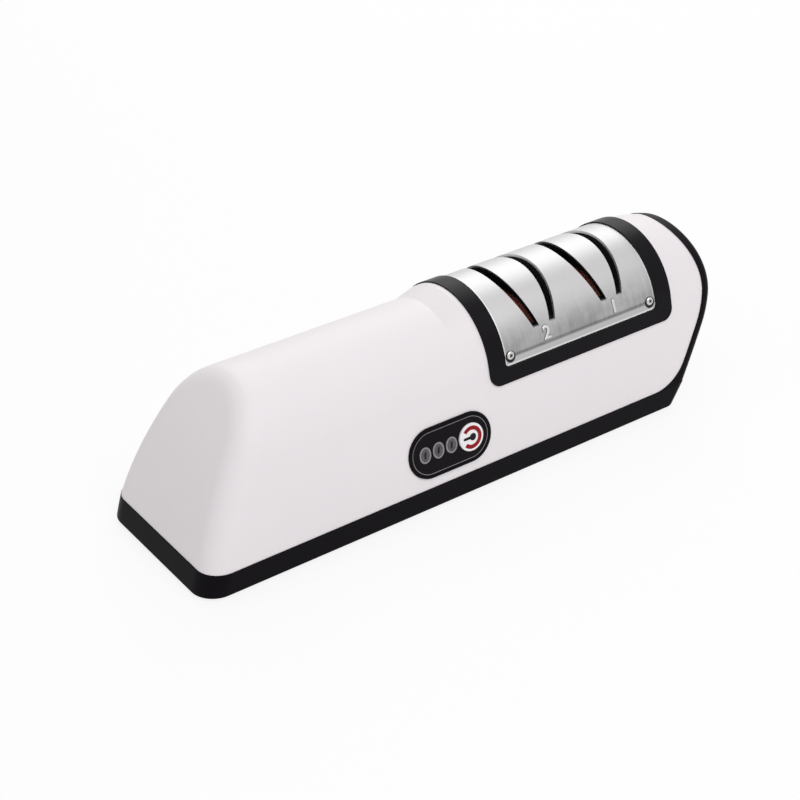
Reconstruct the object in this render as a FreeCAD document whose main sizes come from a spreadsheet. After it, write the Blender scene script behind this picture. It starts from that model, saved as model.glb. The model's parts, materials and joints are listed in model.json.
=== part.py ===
"""Battery-driven electric knife sharpener.

A long arched grip carries a taller sharpening head at its +X end. Two grinding wheels on one
spindle turn under a slotted steel cover, driven by a motor that lies in the grip above two cells.
Millimetres, +X towards the head, -Y towards the control panel, +Z up, origin on the table in the
middle of the footprint.
"""

import FreeCAD, Part
import math
import os
import re

import Sketcher
from FreeCAD import Placement, Rotation, Vector

# Driving sizes. Heights are over the underside of the base unless their note says otherwise.
SIZES = [
    ("total_length", 220.0, "nose foot to the furthest point of the rear end"),
    ("base_width", 63.0, "width of the base strip"),
    ("head_top", 61.0, "crown of the sharpening head"),
    ("crown_radius", 25.0, "round of the crown"),
    ("wall_bow", 3.4, "the crown arc stops this many degrees before a flat wall would leave it"),
    ("grip_top_nose", 58.8, "crown of the grip at the nose"),
    ("grip_top_middle", 58.6, "crown of the grip half way along"),
    ("grip_top_shoulder", 58.4, "crown of the grip where the cone ring starts"),
    ("wall", 2.2, "moulded wall of housing and base"),
    ("reveal", 0.3, "base and rear rim stand out of the housing by this much"),
    ("base_height", 8.4, "black strip round the foot of the housing"),
    ("corner_radius", 8.3, "upright corners of the nose in plan"),
    ("rear_corner_radius", 3.0, "edges of the rear end"),
    ("foot_edge", 0.7, "rounding round the underside of the base"),
    ("nose_radius", 140.0, "side view of the nose face"),
    ("nose_lean", 13.5, "lean of the nose face at its foot"),
    ("nose_crown_fillet", 8.5, "fillet from the nose face over the crown"),
    ("rear_lean", 30.0, "outward lean of the rear end"),
    ("rear_straight", 26.7, "height of the straight part of the rear end"),
    ("rear_radius", 38.0, "round of the rear end above its straight part"),
    ("rear_upper_radius", 31.0, "its round above its furthest point"),
    ("rim_upper_radius", 30.0, "the parting line's round there"),
    ("rear_rim", 4.5, "depth of the black rear rim along the sides"),
    ("rear_rim_fillet", 16.5, "sweep of the parting line from strip to rim"),
    ("rear_top_middle", 59.1, "crown half way from the head frame to the rear end"),
    ("rear_top_end", 55.6, "crown past the rear end"),
    ("rear_crown_middle", 25.8, "round of the crown half way there"),
    ("rear_crown_end", 26.8, "round of the crown past the rear end"),
    ("frame_inset", 20.6, "head frame from the furthest point of the rear end"),
    ("frame_length", 82.1, "head frame along X"),
    ("cone_start", 9.3, "the cone ring leaves the grip this far before the head frame"),
    ("cone_end", 1.8, "it meets the head this far before the frame"),
    ("frame_foot", 34.4, "lower edge of the head frame"),
    ("frame_corner", 4.2, "outer corners of the head frame"),
    ("frame_band", 7.0, "width of the frame's side bands"),
    ("frame_sill", 5.2, "height of the frame's lower bands"),
    ("frame_proud", 0.5, "head frame stands out of the housing"),
    ("frame_seat", 1.2, "depth of the step that the head frame rests on"),
    ("frame_ledge", 2.0, "width of that step"),
    ("plate_gap", 0.1, "play between cover plate and head frame"),
    ("plate_sunk", 0.05, "cover plate lies under the skin by this much"),
    ("plate_thickness", 0.8, "stainless sheet"),
    ("plate_corner", 1.6, "corners of the cover plate"),
    ("pair_pitch", 30.35, "between the two pairs of slots"),
    ("pair_shift", 0.3, "the pairs stand this far behind the middle of the frame"),
    ("slot_foot", 48.65, "lower ends of the slots"),
    ("slot_spacing", 6.9, "between the two slots of a pair at their lower ends"),
    ("slot_width", 2.6, "slot across at its lower end"),
    ("slot_tilt", 19.5, "slots lean away from the middle of their pair"),
    ("slot_draft", 2.5, "each side of a slot opens upwards by this angle"),
    ("screw_inset", 2.6, "plate screws from the plate's side edges"),
    ("screw_height", 3.0, "plate screws over the plate's lower edge"),
    ("plate_screw_head", 2.05, "radius of a plate screw's head"),
    ("plate_screw_rise", 1.1, "height of that head"),
    ("plate_screw_shank", 1.1, "radius of its thread"),
    ("plate_screw_length", 4.0, "its thread under the head"),
    ("guide_thickness", 3.6, "legs of the knife guide"),
    ("guide_floor", 49.6, "underside of the guide's bridge"),
    ("spindle_height", 36.0, "axis of motor and spindle"),
    ("spindle_radius", 2.5, "spindle of the wheels"),
    ("collar_radius", 4.0, "stop on the spindle before the first wheel"),
    ("collar_gap", 1.0, "between that stop and the first bearing"),
    ("spindle_edge", 0.4, "broken edge of the spindle's free end"),
    ("wheel_radius", 18.0, "grinding wheels"),
    ("wheel_thickness", 5.0, "grinding wheels along the spindle"),
    ("wheel_chamfer", 0.5, "broken edges of the wheels"),
    ("wheel_gap", 0.7, "free space round the wheels in the guide"),
    ("flange_radius", 8.0, "clamping flanges of the wheels"),
    ("flange_thickness", 1.5, "each flange"),
    ("spacer_radius", 4.5, "sleeve between the wheels"),
    ("nut_flats", 8.0, "spindle nut across flats"),
    ("nut_thickness", 4.0, "spindle nut"),
    ("bearing_radius", 8.0, "ball bearings, outside"),
    ("bearing_width", 5.0, "ball bearings"),
    ("bearing_play", 0.03, "running fit round spindle and motor shaft"),
    ("front_bearing_inset", 13.7, "first bearing from the near end of the head frame"),
    ("rear_bearing_inset", 12.4, "near face of the second bearing from the frame's far end"),
    ("spindle_tail", 3.0, "spindle beyond the second bearing"),
    ("bracket_width", 30.0, "foot of a bearing bracket"),
    ("bracket_foot", 3.0, "thickness of the feet of brackets and motor mount"),
    ("bracket_reach", 6.0, "foot in front of a bracket's upright"),
    ("bracket_heel", 4.0, "foot behind a bracket's upright"),
    ("bracket_collar", 3.5, "plastic round a bearing"),
    ("coupling_radius", 5.5, "coupling sleeve"),
    ("coupling_gap", 2.0, "between the coupling and the first bearing"),
    ("coupling_length", 11.0, "coupling sleeve"),
    ("shaft_gap", 0.6, "between the shaft ends in the coupling"),
    ("motor_radius", 12.2, "motor can, outside"),
    ("motor_gap", 3.0, "between the motor can and the coupling"),
    ("motor_length", 31.0, "motor can"),
    ("motor_wall", 1.1, "drawn steel of the can"),
    ("motor_cap", 4.0, "end cap of the motor"),
    ("motor_shaft_radius", 1.15, "motor shaft"),
    ("shaft_tail", 0.5, "motor shaft beyond its bush"),
    ("armature_radius", 8.2, "winding stack on the motor shaft"),
    ("armature_length", 18.0, "winding stack"),
    ("magnet_thickness", 2.2, "magnet ring in the can"),
    ("magnet_over", 1.0, "magnet ring past each end of the windings"),
    ("bush_radius", 3.1, "bearing bushes of the motor"),
    ("bush_length", 4.0, "bushes in the can"),
    ("bush_proud", 1.5, "bushes stand out of can and cap"),
    ("spigot", 1.5, "end cap in the can"),
    ("mount_foot", 40.0, "foot of the motor mount across"),
    ("mount_top", 30.0, "upper edge of the motor mount"),
    ("mount_length", 18.0, "motor mount"),
    ("mount_wall", 3.0, "walls and bridge of the motor mount"),
    ("strap_thickness", 1.5, "steel strap over the motor"),
    ("strap_width", 9.0, "strap along the motor"),
    ("strap_foot", 22.0, "lower ends of the strap"),
    ("strap_screw_height", 25.0, "screws of the strap"),
    ("screw_cap", 0.65, "share of a screw head's height in its round cap"),
    ("small_screw_radius", 1.2, "thread of the screws inside"),
    ("small_screw_head", 2.3, "radius of their heads"),
    ("small_screw_rise", 1.4, "height of their heads"),
    ("sole_margin", 1.2, "plastic beside the heads of the floor screws"),
    ("small_screw_bite", 1.8, "depth of their threads in base or mount"),
    ("cell_radius", 7.1, "battery cells"),
    ("cell_length", 49.5, "battery cells"),
    ("cell_inset", 10.0, "battery cells from the foot of the nose"),
    ("cell_spacing", 15.2, "between the cells' axes"),
    ("cell_edge", 0.6, "broken edges of the cells"),
    ("cradle_floor", 1.2, "plastic under the cells"),
    ("cradle_wall", 1.5, "plastic round the cells"),
    ("cradle_height", 8.5, "walls of the battery cradle"),
    ("contact_thickness", 0.4, "nickel strips on the cells' ends"),
    ("contact_height", 6.0, "nickel strips"),
    ("pad_inset", 19.3, "middle of the control panel before the head frame"),
    ("pad_height", 20.9, "height of its middle"),
    ("pad_length", 34.0, "bezel along X"),
    ("pad_width", 17.8, "bezel up the wall"),
    ("bezel_rim", 1.3, "visible rim of the bezel"),
    ("bezel_proud", 0.5, "bezel stands out of the wall"),
    ("bezel_seat", 1.2, "depth of the bezel's seat in the wall"),
    ("bezel_back", 1.0, "thickness of the bezel's back"),
    ("bezel_ledge", 1.8, "width of the wall's step under the bezel"),
    ("panel_drop", 0.15, "panel lies lower than the bezel's rim"),
    ("panel_thickness", 1.2, "glossy panel inside the rim"),
    ("button_x", 8.6, "power button from the middle of the panel"),
    ("button_radius", 5.0, "power button"),
    ("button_play", 0.2, "gap round the power button"),
    ("button_proud", 0.45, "button stands out of the panel"),
    ("button_edge", 0.3, "rounded edge of the power button"),
    ("button_lip", 0.9, "lip that keeps the button behind the bezel, its width and thickness"),
    ("button_stem", 1.6, "radius of the stem that meets the switch"),
    ("button_travel", 0.5, "free way of the button"),
    ("lens_pitch", 5.45, "between the indicator windows"),
    ("lens_first", -10.5, "first window from the middle of the panel"),
    ("lens_length", 5.8, "window up the wall"),
    ("lens_width", 4.6, "window along the wall"),
    ("lens_proud", 0.1, "window stands out of the panel"),
    ("pipe_radius", 1.3, "light pipe behind each window"),
    ("led_side", 2.0, "light source under each pipe"),
    ("led_width", 1.4, "light source across"),
    ("led_rise", 0.9, "light source over the board"),
    ("pipe_gap", 0.4, "between pipe and light source"),
    ("board_depth", 8.2, "face of the control board under the skin"),
    ("board_length", 41.0, "control board"),
    ("board_width", 15.0, "control board"),
    ("board_thickness", 1.6, "control board"),
    ("post_spacing", 36.0, "between the posts of the control board"),
    ("post_radius", 2.3, "posts of the control board"),
    ("board_screw_radius", 1.0, "thread of the board screws"),
    ("board_screw_head", 1.9, "radius of their heads"),
    ("board_screw_rise", 1.2, "height of their heads"),
    ("board_screw_bite", 3.2, "depth of their threads in the posts"),
    ("switch_side", 6.0, "push switch"),
    ("switch_rise", 3.5, "push switch over the board"),
    ("plunger_radius", 1.5, "plunger of the push switch"),
    ("plunger_bore", 1.9, "depth of the plunger's bore"),
    ("boss_radius", 3.2, "housing bosses for the base screws"),
    ("boss_top", 21.0, "upper end of the bosses"),
    ("boss_inset", 6.6, "bosses from the sides of the base"),
    ("nose_boss_inset", 26.0, "bosses from the foot of the nose"),
    ("rear_boss_inset", 28.0, "bosses from the furthest point of the rear end"),
    ("base_screw_radius", 1.45, "thread of the base screws"),
    ("base_screw_head", 2.8, "radius of the head"),
    ("base_screw_rise", 2.0, "height of the head"),
    ("base_screw_length", 14.0, "thread of the base screws"),
    ("base_screw_sink", 2.6, "depth of the head's pocket"),
    ("pillar_radius", 4.0, "base pillars under the bosses"),
    ("foot_radius", 5.0, "rubber feet"),
    ("foot_proud", 1.0, "feet stand out of the base and lift everything off the table"),
    ("foot_sunk", 0.9, "feet set into the base"),
    ("foot_edge_cut", 0.4, "broken lower edge of the feet"),
    ("foot_inset_x", 40.0, "feet from the two ends"),
    ("foot_inset_y", 9.5, "feet from the sides of the base"),
    ("socket_height", 19.0, "middle of the charging socket"),
    ("socket_width", 10.6, "socket shell across"),
    ("socket_rise", 4.6, "socket shell up the rear end"),
    ("socket_depth", 8.0, "socket shell"),
    ("socket_wall", 0.7, "socket shell"),
    ("tongue_length", 6.0, "tongue in the socket"),
    ("tongue_width", 5.3, "tongue across"),
    ("charging_board_end", 14.0, "inner end of the socket's board under the skin"),
    ("seat_play", 0.1, "general play between seated pieces"),
    ("skin_over", 2.0, "the skin's end sections lie past its two ends by this much"),
    ("tool_over", 1.0, "cutting tools start this far outside their piece"),
    ("spare", 20.0, "planes and long tools reach past the product by this much"),
]

doc = FreeCAD.newDocument("knife_sharpener")
sheet = doc.addObject("Spreadsheet::Sheet", "sizes")
for row, (alias, number, note) in enumerate(SIZES, start=1):
    sheet.set(f"A{row}", alias)
    sheet.set(f"B{row}", str(number))
    sheet.set(f"C{row}", note)
    sheet.setAlias(f"B{row}", alias)
doc.recompute()
ALIASES = {alias for alias, number, note in SIZES}
parts = []


def named(expression):
    """The expression with the sheet's name before each of its sizes."""
    return re.sub("[a-z_]+", lambda word: "sizes." * (word[0] in ALIASES) + word[0], expression)


def size(expression):
    """The number that an expression gives now."""
    return float(sheet.evalExpression(expression))


def bind(thing, name, expression):
    thing.setExpression(name, named(expression))


def keep(label, feature):
    """Marks an object as a finished sub-part."""
    feature.Label = label
    parts.append(feature)
    return feature


# Sketches

def add_body(label):
    return doc.addObject("PartDesign::Body", label)


def add_sketch(body, role="XY_Plane", height="0"):
    """A sketch on one of the body's own planes, lifted along its normal."""
    sketch = body.newObject("Sketcher::SketchObject", body.Name + "_sketch")
    plane = [item for item in body.Origin.OriginFeatures if item.Role == role][0]
    sketch.AttachmentSupport = [(plane, "")]
    sketch.MapMode = "FlatFace"
    bind(sketch, "AttachmentOffset.Base.z", height)
    return sketch


def hold(sketch, kind, places, expression):
    """One dimension of a sketch, bound to an expression."""
    index = sketch.addConstraint(Sketcher.Constraint(kind, *places, size(expression)))
    bind(sketch, f"Constraints[{index}]", expression)


def pin(sketch, line, end, x, y):
    """Holds a start (1), an end (2) or a centre (3) at its two coordinates."""
    hold(sketch, "DistanceX", (-1, 1, line, end), x)
    hold(sketch, "DistanceY", (-1, 1, line, end), y)


def bowed(start, end, radius):
    """The lesser arc between two points, centre to the left of the way for a positive radius."""
    chord = end - start
    left = Vector(-chord.y, chord.x, 0).normalize()
    reach = math.sqrt(max(radius**2 - (chord.Length / 2) ** 2, 0))
    centre = (start + end) * 0.5 + left * math.copysign(reach, radius)
    belly = centre - left * radius
    return Part.Arc(start, belly, end) if radius > 0 else Part.Arc(end, belly, start)


def outline(sketch, corners):
    """A closed outline. A corner's third value is the radius of an arc to the next corner."""
    places = [Vector(size(corner[0]), size(corner[1]), 0) for corner in corners]
    begins = []
    ends = []
    for step, corner in enumerate(corners):
        start = places[step]
        end = places[(step + 1) % len(places)]
        radius = size(corner[2]) if len(corner) == 3 else 0
        line = bowed(start, end, radius) if radius else Part.LineSegment(start, end)
        index = sketch.addGeometry(line)
        begins.append((index, 2 if radius < 0 else 1))
        ends.append((index, 1 if radius < 0 else 2))
        if radius:
            hold(sketch, "Radius", (index,), f"abs({corner[2]})")
    for step, corner in enumerate(corners):
        pin(sketch, *begins[step], *corner[:2])
        sketch.addConstraint(Sketcher.Constraint("Coincident", *ends[step - 1], *begins[step]))


def box(sketch, x_low, x_high, y_low, y_high):
    outline(sketch, [(x_low, y_low), (x_high, y_low), (x_high, y_high), (x_low, y_high)])


def circle(sketch, x, y, radius):
    centre = Vector(size(x), size(y), 0)
    line = sketch.addGeometry(Part.Circle(centre, Vector(0, 0, 1), size(radius)))
    pin(sketch, line, 3, x, y)
    hold(sketch, "Radius", (line,), radius)


def stadium(sketch, x, y, length, width, upright=False):
    """A slot outline that is long along the sketch's x, or along its y where it is upright."""
    r = f"({width}) / 2"
    reach = f"(({length}) - ({width})) / 2"
    if upright:
        outline(sketch, [
            (f"{x} + {r}", f"{y} - {reach}"),
            (f"{x} + {r}", f"{y} + {reach}", r),
            (x, f"{y} + {reach} + {r}", r),
            (f"{x} - {r}", f"{y} + {reach}"),
            (f"{x} - {r}", f"{y} - {reach}", r),
            (x, f"{y} - {reach} - {r}", r),
        ])
        return
    outline(sketch, [
        (f"{x} - {reach}", f"{y} - {r}"),
        (f"{x} + {reach}", f"{y} - {r}", r),
        (f"{x} + {reach} + {r}", y, r),
        (f"{x} + {reach}", f"{y} + {r}"),
        (f"{x} - {reach}", f"{y} + {r}", r),
        (f"{x} - {reach} - {r}", y, r),
    ])


# Features

def pad(body, sketch, length, both_ways=False):
    feature = body.newObject("PartDesign::Pad", body.Name + "_pad")
    feature.Profile = sketch
    feature.SideType = "Symmetric" if both_ways else "One side"
    bind(feature, "Length", length)
    doc.recompute()


def pocket(body, sketch, length, both_ways=False):
    """Cuts against the sketch's normal, and makes sure that it cut."""
    doc.recompute()
    before = body.Shape.Volume
    feature = body.newObject("PartDesign::Pocket", body.Name + "_pocket")
    feature.Profile = sketch
    feature.SideType = "Symmetric" if both_ways else "One side"
    bind(feature, "Length", length)
    doc.recompute()
    if body.Shape.Volume > before - 1e-6:
        raise RuntimeError(f"a pocket in {body.Label} cuts nothing")


def loft(body, sections, ruled):
    feature = body.newObject("PartDesign::AdditiveLoft", body.Name + "_loft")
    feature.Profile = sections[0]
    feature.Sections = sections[1:]
    feature.Ruled = ruled
    doc.recompute()


def fillet(body, radius, wanted):
    """Rounds the edges of a body that a test on three points of each picks out."""
    tip = body.Tip
    picked = picked_edges(body.Shape, wanted)
    feature = body.newObject("PartDesign::Fillet", body.Name + "_fillet")
    feature.Base = (tip, [f"Edge{index}" for index in picked])
    bind(feature, "Radius", radius)
    doc.recompute()


def edge_points(edge):
    first = edge.FirstParameter
    last = edge.LastParameter
    return [edge.valueAt(first), edge.valueAt((first + last) / 2), edge.valueAt(last)]


def picked_edges(shape, wanted):
    return [index for index, edge in enumerate(shape.Edges, start=1) if wanted(edge_points(edge))]


def prism(label, role, height, length, *outlines):
    """A body of one padded sketch. Each outline is a function of the sketch."""
    body = add_body(label)
    sketch = add_sketch(body, role, height)
    for draw in outlines:
        draw(sketch)
    pad(body, sketch, length)
    return body


def across(label, corners, width="base_width + spare"):
    """A side-view outline, padded both ways across the whole width."""
    body = add_body(label)
    sketch = add_sketch(body, "XZ_Plane")
    outline(sketch, corners)
    pad(body, sketch, width, both_ways=True)
    return body


def turned(label, *profiles, axis="H_Axis", height="foot_proud + spindle_height"):
    """A body turned about an X axis at a height, or about its own Z axis. Profiles are in XZ."""
    body = add_body(label)
    for corners in profiles:
        sketch = add_sketch(body, "XZ_Plane")
        outline(sketch, corners)
        feature = body.newObject("PartDesign::Revolution", body.Name + "_turning")
        feature.Profile = sketch
        feature.ReferenceAxis = (sketch, [axis])
        feature.Angle = 360
    if height:
        bind(body, "Placement.Base.z", height)
    doc.recompute()
    return body


def ring(x_low, x_high, inner, outer):
    """Corners of a plain turned ring."""
    return [(x_low, inner), (x_high, inner), (x_high, outer), (x_low, outer)]


def combine(kind, label, pieces):
    feature = doc.addObject("Part::" + kind, label)
    feature.Shapes = pieces
    doc.recompute()
    return feature


def fuse(label, *pieces):
    return combine("MultiFuse", label, list(pieces))


def common(label, *pieces):
    return combine("MultiCommon", label, list(pieces))


def cut(label, base, *tools):
    feature = doc.addObject("Part::Cut", label)
    feature.Base = base
    feature.Tool = tools[0] if len(tools) == 1 else fuse(label + "_tools", *tools)
    doc.recompute()
    return feature


def group(label, pieces):
    """Several separate solids as one object."""
    feature = doc.addObject("Part::Compound", label)
    feature.Links = pieces
    doc.recompute()
    return feature


# The outer skin. Each piece of the shell is this form, moved inwards by its own inset.

PARTING = "(foot_proud + base_height)"
ABOVE = "(foot_proud + head_top + spare)"
NOSE_X = "(-total_length / 2 + (nose_radius + reveal) * cos(nose_lean))"
NOSE_Z = "(foot_proud - (nose_radius + reveal) * sin(nose_lean))"
REAR_X = "(total_length / 2 - rear_radius - reveal)"
REAR_Z = "(foot_proud + rear_straight + rear_radius * sin(rear_lean))"
SIDE = "(base_width / 2 - reveal)"
NOSE_END = "(-total_length / 2)"
REAR_END = "(total_length / 2)"
FRAME_RIGHT = f"({REAR_END} - frame_inset)"
FRAME_LEFT = f"({FRAME_RIGHT} - frame_length)"
FRAME_MIDDLE = f"({FRAME_RIGHT} - frame_length / 2)"
HEAD_START = f"({FRAME_LEFT} - cone_end)"
HEAD_END = f"({FRAME_RIGHT} + frame_proud)"


def nose_x(height, inset):
    """X of the nose face at a height."""
    return f"({NOSE_X} - sqrt((nose_radius - ({inset}))^2 - ({height} - {NOSE_Z})^2))"


def rear_reach(inset):
    return f"(rear_radius - ({inset}))"


def rear_x(height, inset):
    """X of the straight part of the rear end at a height."""
    reach = rear_reach(inset)
    below = f"({REAR_Z} - {reach} * sin(rear_lean) - ({height}))"
    return f"({REAR_X} + {reach} * cos(rear_lean) - {below} * tan(rear_lean))"


def rear_way(inset, upper):
    """Corners of the rear end over its straight part: two arcs that meet at its furthest point."""
    reach = rear_reach(inset)
    centre = f"({REAR_X} + {reach} - ({upper}))"
    stop = f"({centre} + ({upper}) * cos(60))"
    return [
        (f"{REAR_X} + {reach} * cos(rear_lean)", f"{REAR_Z} - {reach} * sin(rear_lean)", reach),
        (f"{REAR_X} + {reach}", REAR_Z, upper),
        (stop, f"{REAR_Z} + ({upper}) * sin(60)"),
        (stop, ABOVE),
    ]


def crown_angle(top, crown="crown_radius"):
    """Degrees of the crown arc each side of the middle: short of the tangent from the base."""
    rise = f"(({top}) - {crown} - base_height)"
    tangent = f"(atan({rise} / {SIDE}) - acos({crown} / sqrt({SIDE}^2 + {rise}^2)))"
    return f"(90 - wall_bow + {tangent} / 1 deg)"


def wall_radius(top, inset, crown="crown_radius"):
    """Radius of the bowed wall that is tangent to the crown and ends on the base."""
    angle = crown_angle(top, crown)
    over = f"(({top}) - {crown} - base_height + ({crown} - ({inset})) * cos({angle}))"
    out = f"({SIDE} - ({inset}) - ({crown} - ({inset})) * sin({angle}))"
    inward = f"({over} * cos({angle}) - {out} * sin({angle}))"
    return f"(({over}^2 + {out}^2) / (2 * {inward}))"


def crown_section(body, station, top, inset, crown="crown_radius"):
    """A D standing on its flat at an X: crown arc, two bowed walls tangent to it, flat foot."""
    sketch = add_sketch(body, "YZ_Plane", station)
    angle = crown_angle(top, crown)
    radius = f"({crown} - ({inset}))"
    half = f"({SIDE} - ({inset}))"
    out = f"{radius} * sin({angle})"
    shoulder = f"foot_proud + ({top}) - {crown} + {radius} * cos({angle})"
    bow = wall_radius(top, inset, crown)
    outline(sketch, [
        (half, PARTING, bow),
        (out, shoulder, radius),
        (f"-{out}", shoulder, bow),
        (f"-{half}", PARTING),
    ])
    return sketch


def skin_place(height, top, inset):
    """Half width of the skin at a height over the base, and how far its normal looks up."""
    radius = size(f"crown_radius - ({inset})")
    centre = size(f"({top}) - crown_radius")
    angle = math.radians(size(crown_angle(top)))
    rise = height - centre
    if rise > radius * math.cos(angle):
        return math.sqrt(radius**2 - rise**2), math.degrees(math.asin(rise / radius))
    bow = size(wall_radius(top, inset))
    bow_y = radius * math.sin(angle) - bow * math.sin(angle)
    bow_z = centre + radius * math.cos(angle) - bow * math.cos(angle)
    lift = (height - bow_z) / bow
    return bow_y + bow * math.sqrt(1 - lift**2), math.degrees(math.asin(lift))


def skin_form(label, inset):
    """The whole form over the base strip, moved inwards: grip, cone ring and head."""
    body = add_body(label)
    nose = crown_section(body, f"{NOSE_END} - skin_over", "grip_top_nose", inset)
    middle = crown_section(body, "-total_length / 4", "grip_top_middle", inset)
    shoulder = crown_section(body, f"{FRAME_LEFT} - cone_start", "grip_top_shoulder", inset)
    head = crown_section(body, HEAD_START, "head_top", inset)
    behind = crown_section(body, HEAD_END, "head_top", inset)
    half_way = f"(({HEAD_END} + {REAR_END} + skin_over) / 2)"
    falling = crown_section(body, half_way, "rear_top_middle", inset, "rear_crown_middle")
    end = crown_section(body, f"{REAR_END} + skin_over", "rear_top_end", inset, "rear_crown_end")
    loft(body, [nose, middle, shoulder], ruled=False)
    loft(body, [shoulder, head], ruled=True)
    loft(body, [head, behind], ruled=True)
    loft(body, [behind, falling, end], ruled=False)
    low = f"({PARTING} - tool_over)"
    before = f"{NOSE_END} - spare"
    beyond = f"{REAR_END} + spare"
    sketch = add_sketch(body, "XZ_Plane")
    outline(sketch, [
        (nose_x(ABOVE, inset), ABOVE, f"nose_radius - ({inset})"),
        (nose_x(low, inset), low),
        (before, low),
        (before, ABOVE),
    ])
    upper = f"rear_upper_radius - ({inset})"
    rear = [(rear_x(low, inset), low), *rear_way(inset, upper), (beyond, ABOVE), (beyond, low)]
    outline(sketch, rear)
    pocket(body, sketch, "base_width + spare", both_ways=True)
    return rounded_ends(label + "_rounded", body, inset)


def rounded_ends(label, body, inset):
    """Rounds the form's nose, with a radius that grows up to the crown, and its rear end."""
    drop = size(inset)
    foot = size(PARTING)
    small = size("corner_radius") - drop
    sharp = size("rear_corner_radius") - drop
    large = size("nose_crown_fillet") - drop
    arc = crown_angle("grip_top_nose")
    shoulder = size(f"foot_proud + grip_top_nose - crown_radius + crown_radius * cos({arc})")
    nose = Vector(size(NOSE_X), 0, size(NOSE_Z))
    rear = Vector(size(REAR_X), 0, size(REAR_Z))
    upper_rear = rear + Vector(size("rear_radius - rear_upper_radius"), 0, 0)

    def level(points):
        return max(p.z for p in points) - min(p.z for p in points) < 0.01

    def distance(place, centre):
        return math.hypot(place.x - centre.x, place.z - centre.z)

    def on_nose(points):
        reach = size("nose_radius") - drop
        return not level(points) and all(abs(distance(p, nose) - reach) < 0.01 for p in points)

    def on_rear(points):
        reach = size("rear_radius") - drop
        lean = math.radians(size("rear_lean"))
        for p in points:
            flat = (p.x - rear.x) * math.cos(lean) - (p.z - rear.z) * math.sin(lean)
            over = distance(p, upper_rear) - size("rear_upper_radius") + drop
            if min(abs(distance(p, rear) - reach), abs(flat - reach), abs(over)) > 0.01:
                return False
        return not level(points)

    def grown(place):
        share = min(max((place.z - foot) / (shoulder - foot), 0), 1)
        return small + (large - small) * share

    edges = []
    for index in picked_edges(body.Shape, on_nose):
        points = edge_points(body.Shape.Edges[index - 1])
        edges.append((index, grown(points[0]), grown(points[2])))
    for index in picked_edges(body.Shape, on_rear):
        edges.append((index, sharp, sharp))
    feature = doc.addObject("Part::Fillet", label)
    feature.Base = body
    feature.Edges = edges
    doc.recompute()
    return feature


def tub_form(label, wall_inset, low, high):
    """The base strip between two heights, moved inwards, with its upright corners rounded."""
    inset = f"(({wall_inset}) - reveal)"
    body = add_body(label)
    sketch = add_sketch(body, "XZ_Plane")
    outline(sketch, [
        (nose_x(high, inset), high, f"nose_radius - {inset}"),
        (nose_x(low, inset), low),
        (rear_x(low, inset), low),
        (rear_x(high, inset), high),
    ])
    pad(body, sketch, f"base_width - 2 * ({wall_inset})", both_ways=True)
    rise = size(high) - size(low)

    def upright(points):
        return abs(abs(points[0].z - points[2].z) - rise) < 0.01

    fillet(body, f"corner_radius - {inset}", lambda points: upright(points) and points[1].x < 0)
    fillet(body, f"rear_corner_radius - {inset}", lambda points: upright(points) and points[1].x > 0)
    return body


def window(label, inset, corner):
    """The head frame's side-view outline, moved inwards, as a prism across the whole width."""
    left = f"({FRAME_LEFT} + ({inset}))"
    right = f"({FRAME_RIGHT} - ({inset}))"
    return frame_prism(label, left, right, f"(foot_proud + frame_foot + ({inset}))", corner)


def frame_prism(label, left, right, foot, corner):
    return across(label, [
        (f"{left} + ({corner})", foot),
        (f"{right} - ({corner})", foot, corner),
        (right, f"{foot} + ({corner})"),
        (right, ABOVE),
        (left, ABOVE),
        (left, f"{foot} + ({corner})", corner),
    ])


def plate_window(label, gap, corner):
    """The cover plate's outline inside the frame's bands."""
    left = f"({FRAME_LEFT} + frame_band + ({gap}))"
    right = f"({FRAME_RIGHT} - frame_band - ({gap}))"
    return frame_prism(label, left, right, f"(foot_proud + frame_foot + frame_sill + ({gap}))", corner)


def saddle(label, inset):
    """The head's straight skin, moved inwards, as a solid block under the frame."""
    body = add_body(label)
    sketch = crown_section(body, HEAD_START, "head_top", inset)
    pad(body, sketch, f"{HEAD_END} - {HEAD_START}")
    return body


# Tools that several pieces share

skin = skin_form("skin", "0")
cavity = skin_form("cavity", "wall")
rim_skin = skin_form("rim_skin", "-reveal")
tub = tub_form("tub", "0", "foot_proud", PARTING)
fillet(tub, "foot_edge", lambda points: all(abs(p.z - size("foot_proud")) < 0.01 for p in points))
tub_cavity = tub_form("tub_cavity", "wall", "(foot_proud + wall)", PARTING)


def rear_region(label):
    """All that lies beyond the parting line which sweeps from the strip up the rear end."""
    centre = rear_x(f"({PARTING} + rear_rim_fillet)", "(rear_rim + rear_rim_fillet)")
    beyond = f"{REAR_END} + spare"
    return across(label, [
        (centre, PARTING, "rear_rim_fillet"),
        (
            f"{centre} + rear_rim_fillet * cos(rear_lean)",
            f"{PARTING} + rear_rim_fillet * (1 - sin(rear_lean))",
        ),
        *rear_way("rear_rim", "rim_upper_radius"),
        (beyond, ABOVE),
        (beyond, PARTING),
    ])


def placed(body, x="0", y="0"):
    """Moves a body along X and Y by two expressions."""
    bind(body, "Placement.Base.x", x)
    bind(body, "Placement.Base.y", y)
    return body


def wall_frame(x, height, top, inset, back=False):
    """The place of a piece on the skin: its z points out of the wall and its y up the wall."""
    half, lift = skin_place(size(height), size(top), size(inset))
    turn = Rotation(Vector(1, 0, 0), 90 - lift)
    if back:
        turn = Rotation(Vector(0, 0, 1), 180) * turn
    return Placement(Vector(size(x), half if back else -half, size(f"foot_proud + {height}")), turn)


def on_wall(body, frame, x="0", y="0"):
    body.Placement = frame * Placement(Vector(size(x), size(y), 0), Rotation())
    return body


def cylinder(label, radius, low, high):
    return prism(
        label, "XY_Plane", low, f"({high}) - ({low})",
        lambda sketch: circle(sketch, "0", "0", radius),
    )


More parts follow.
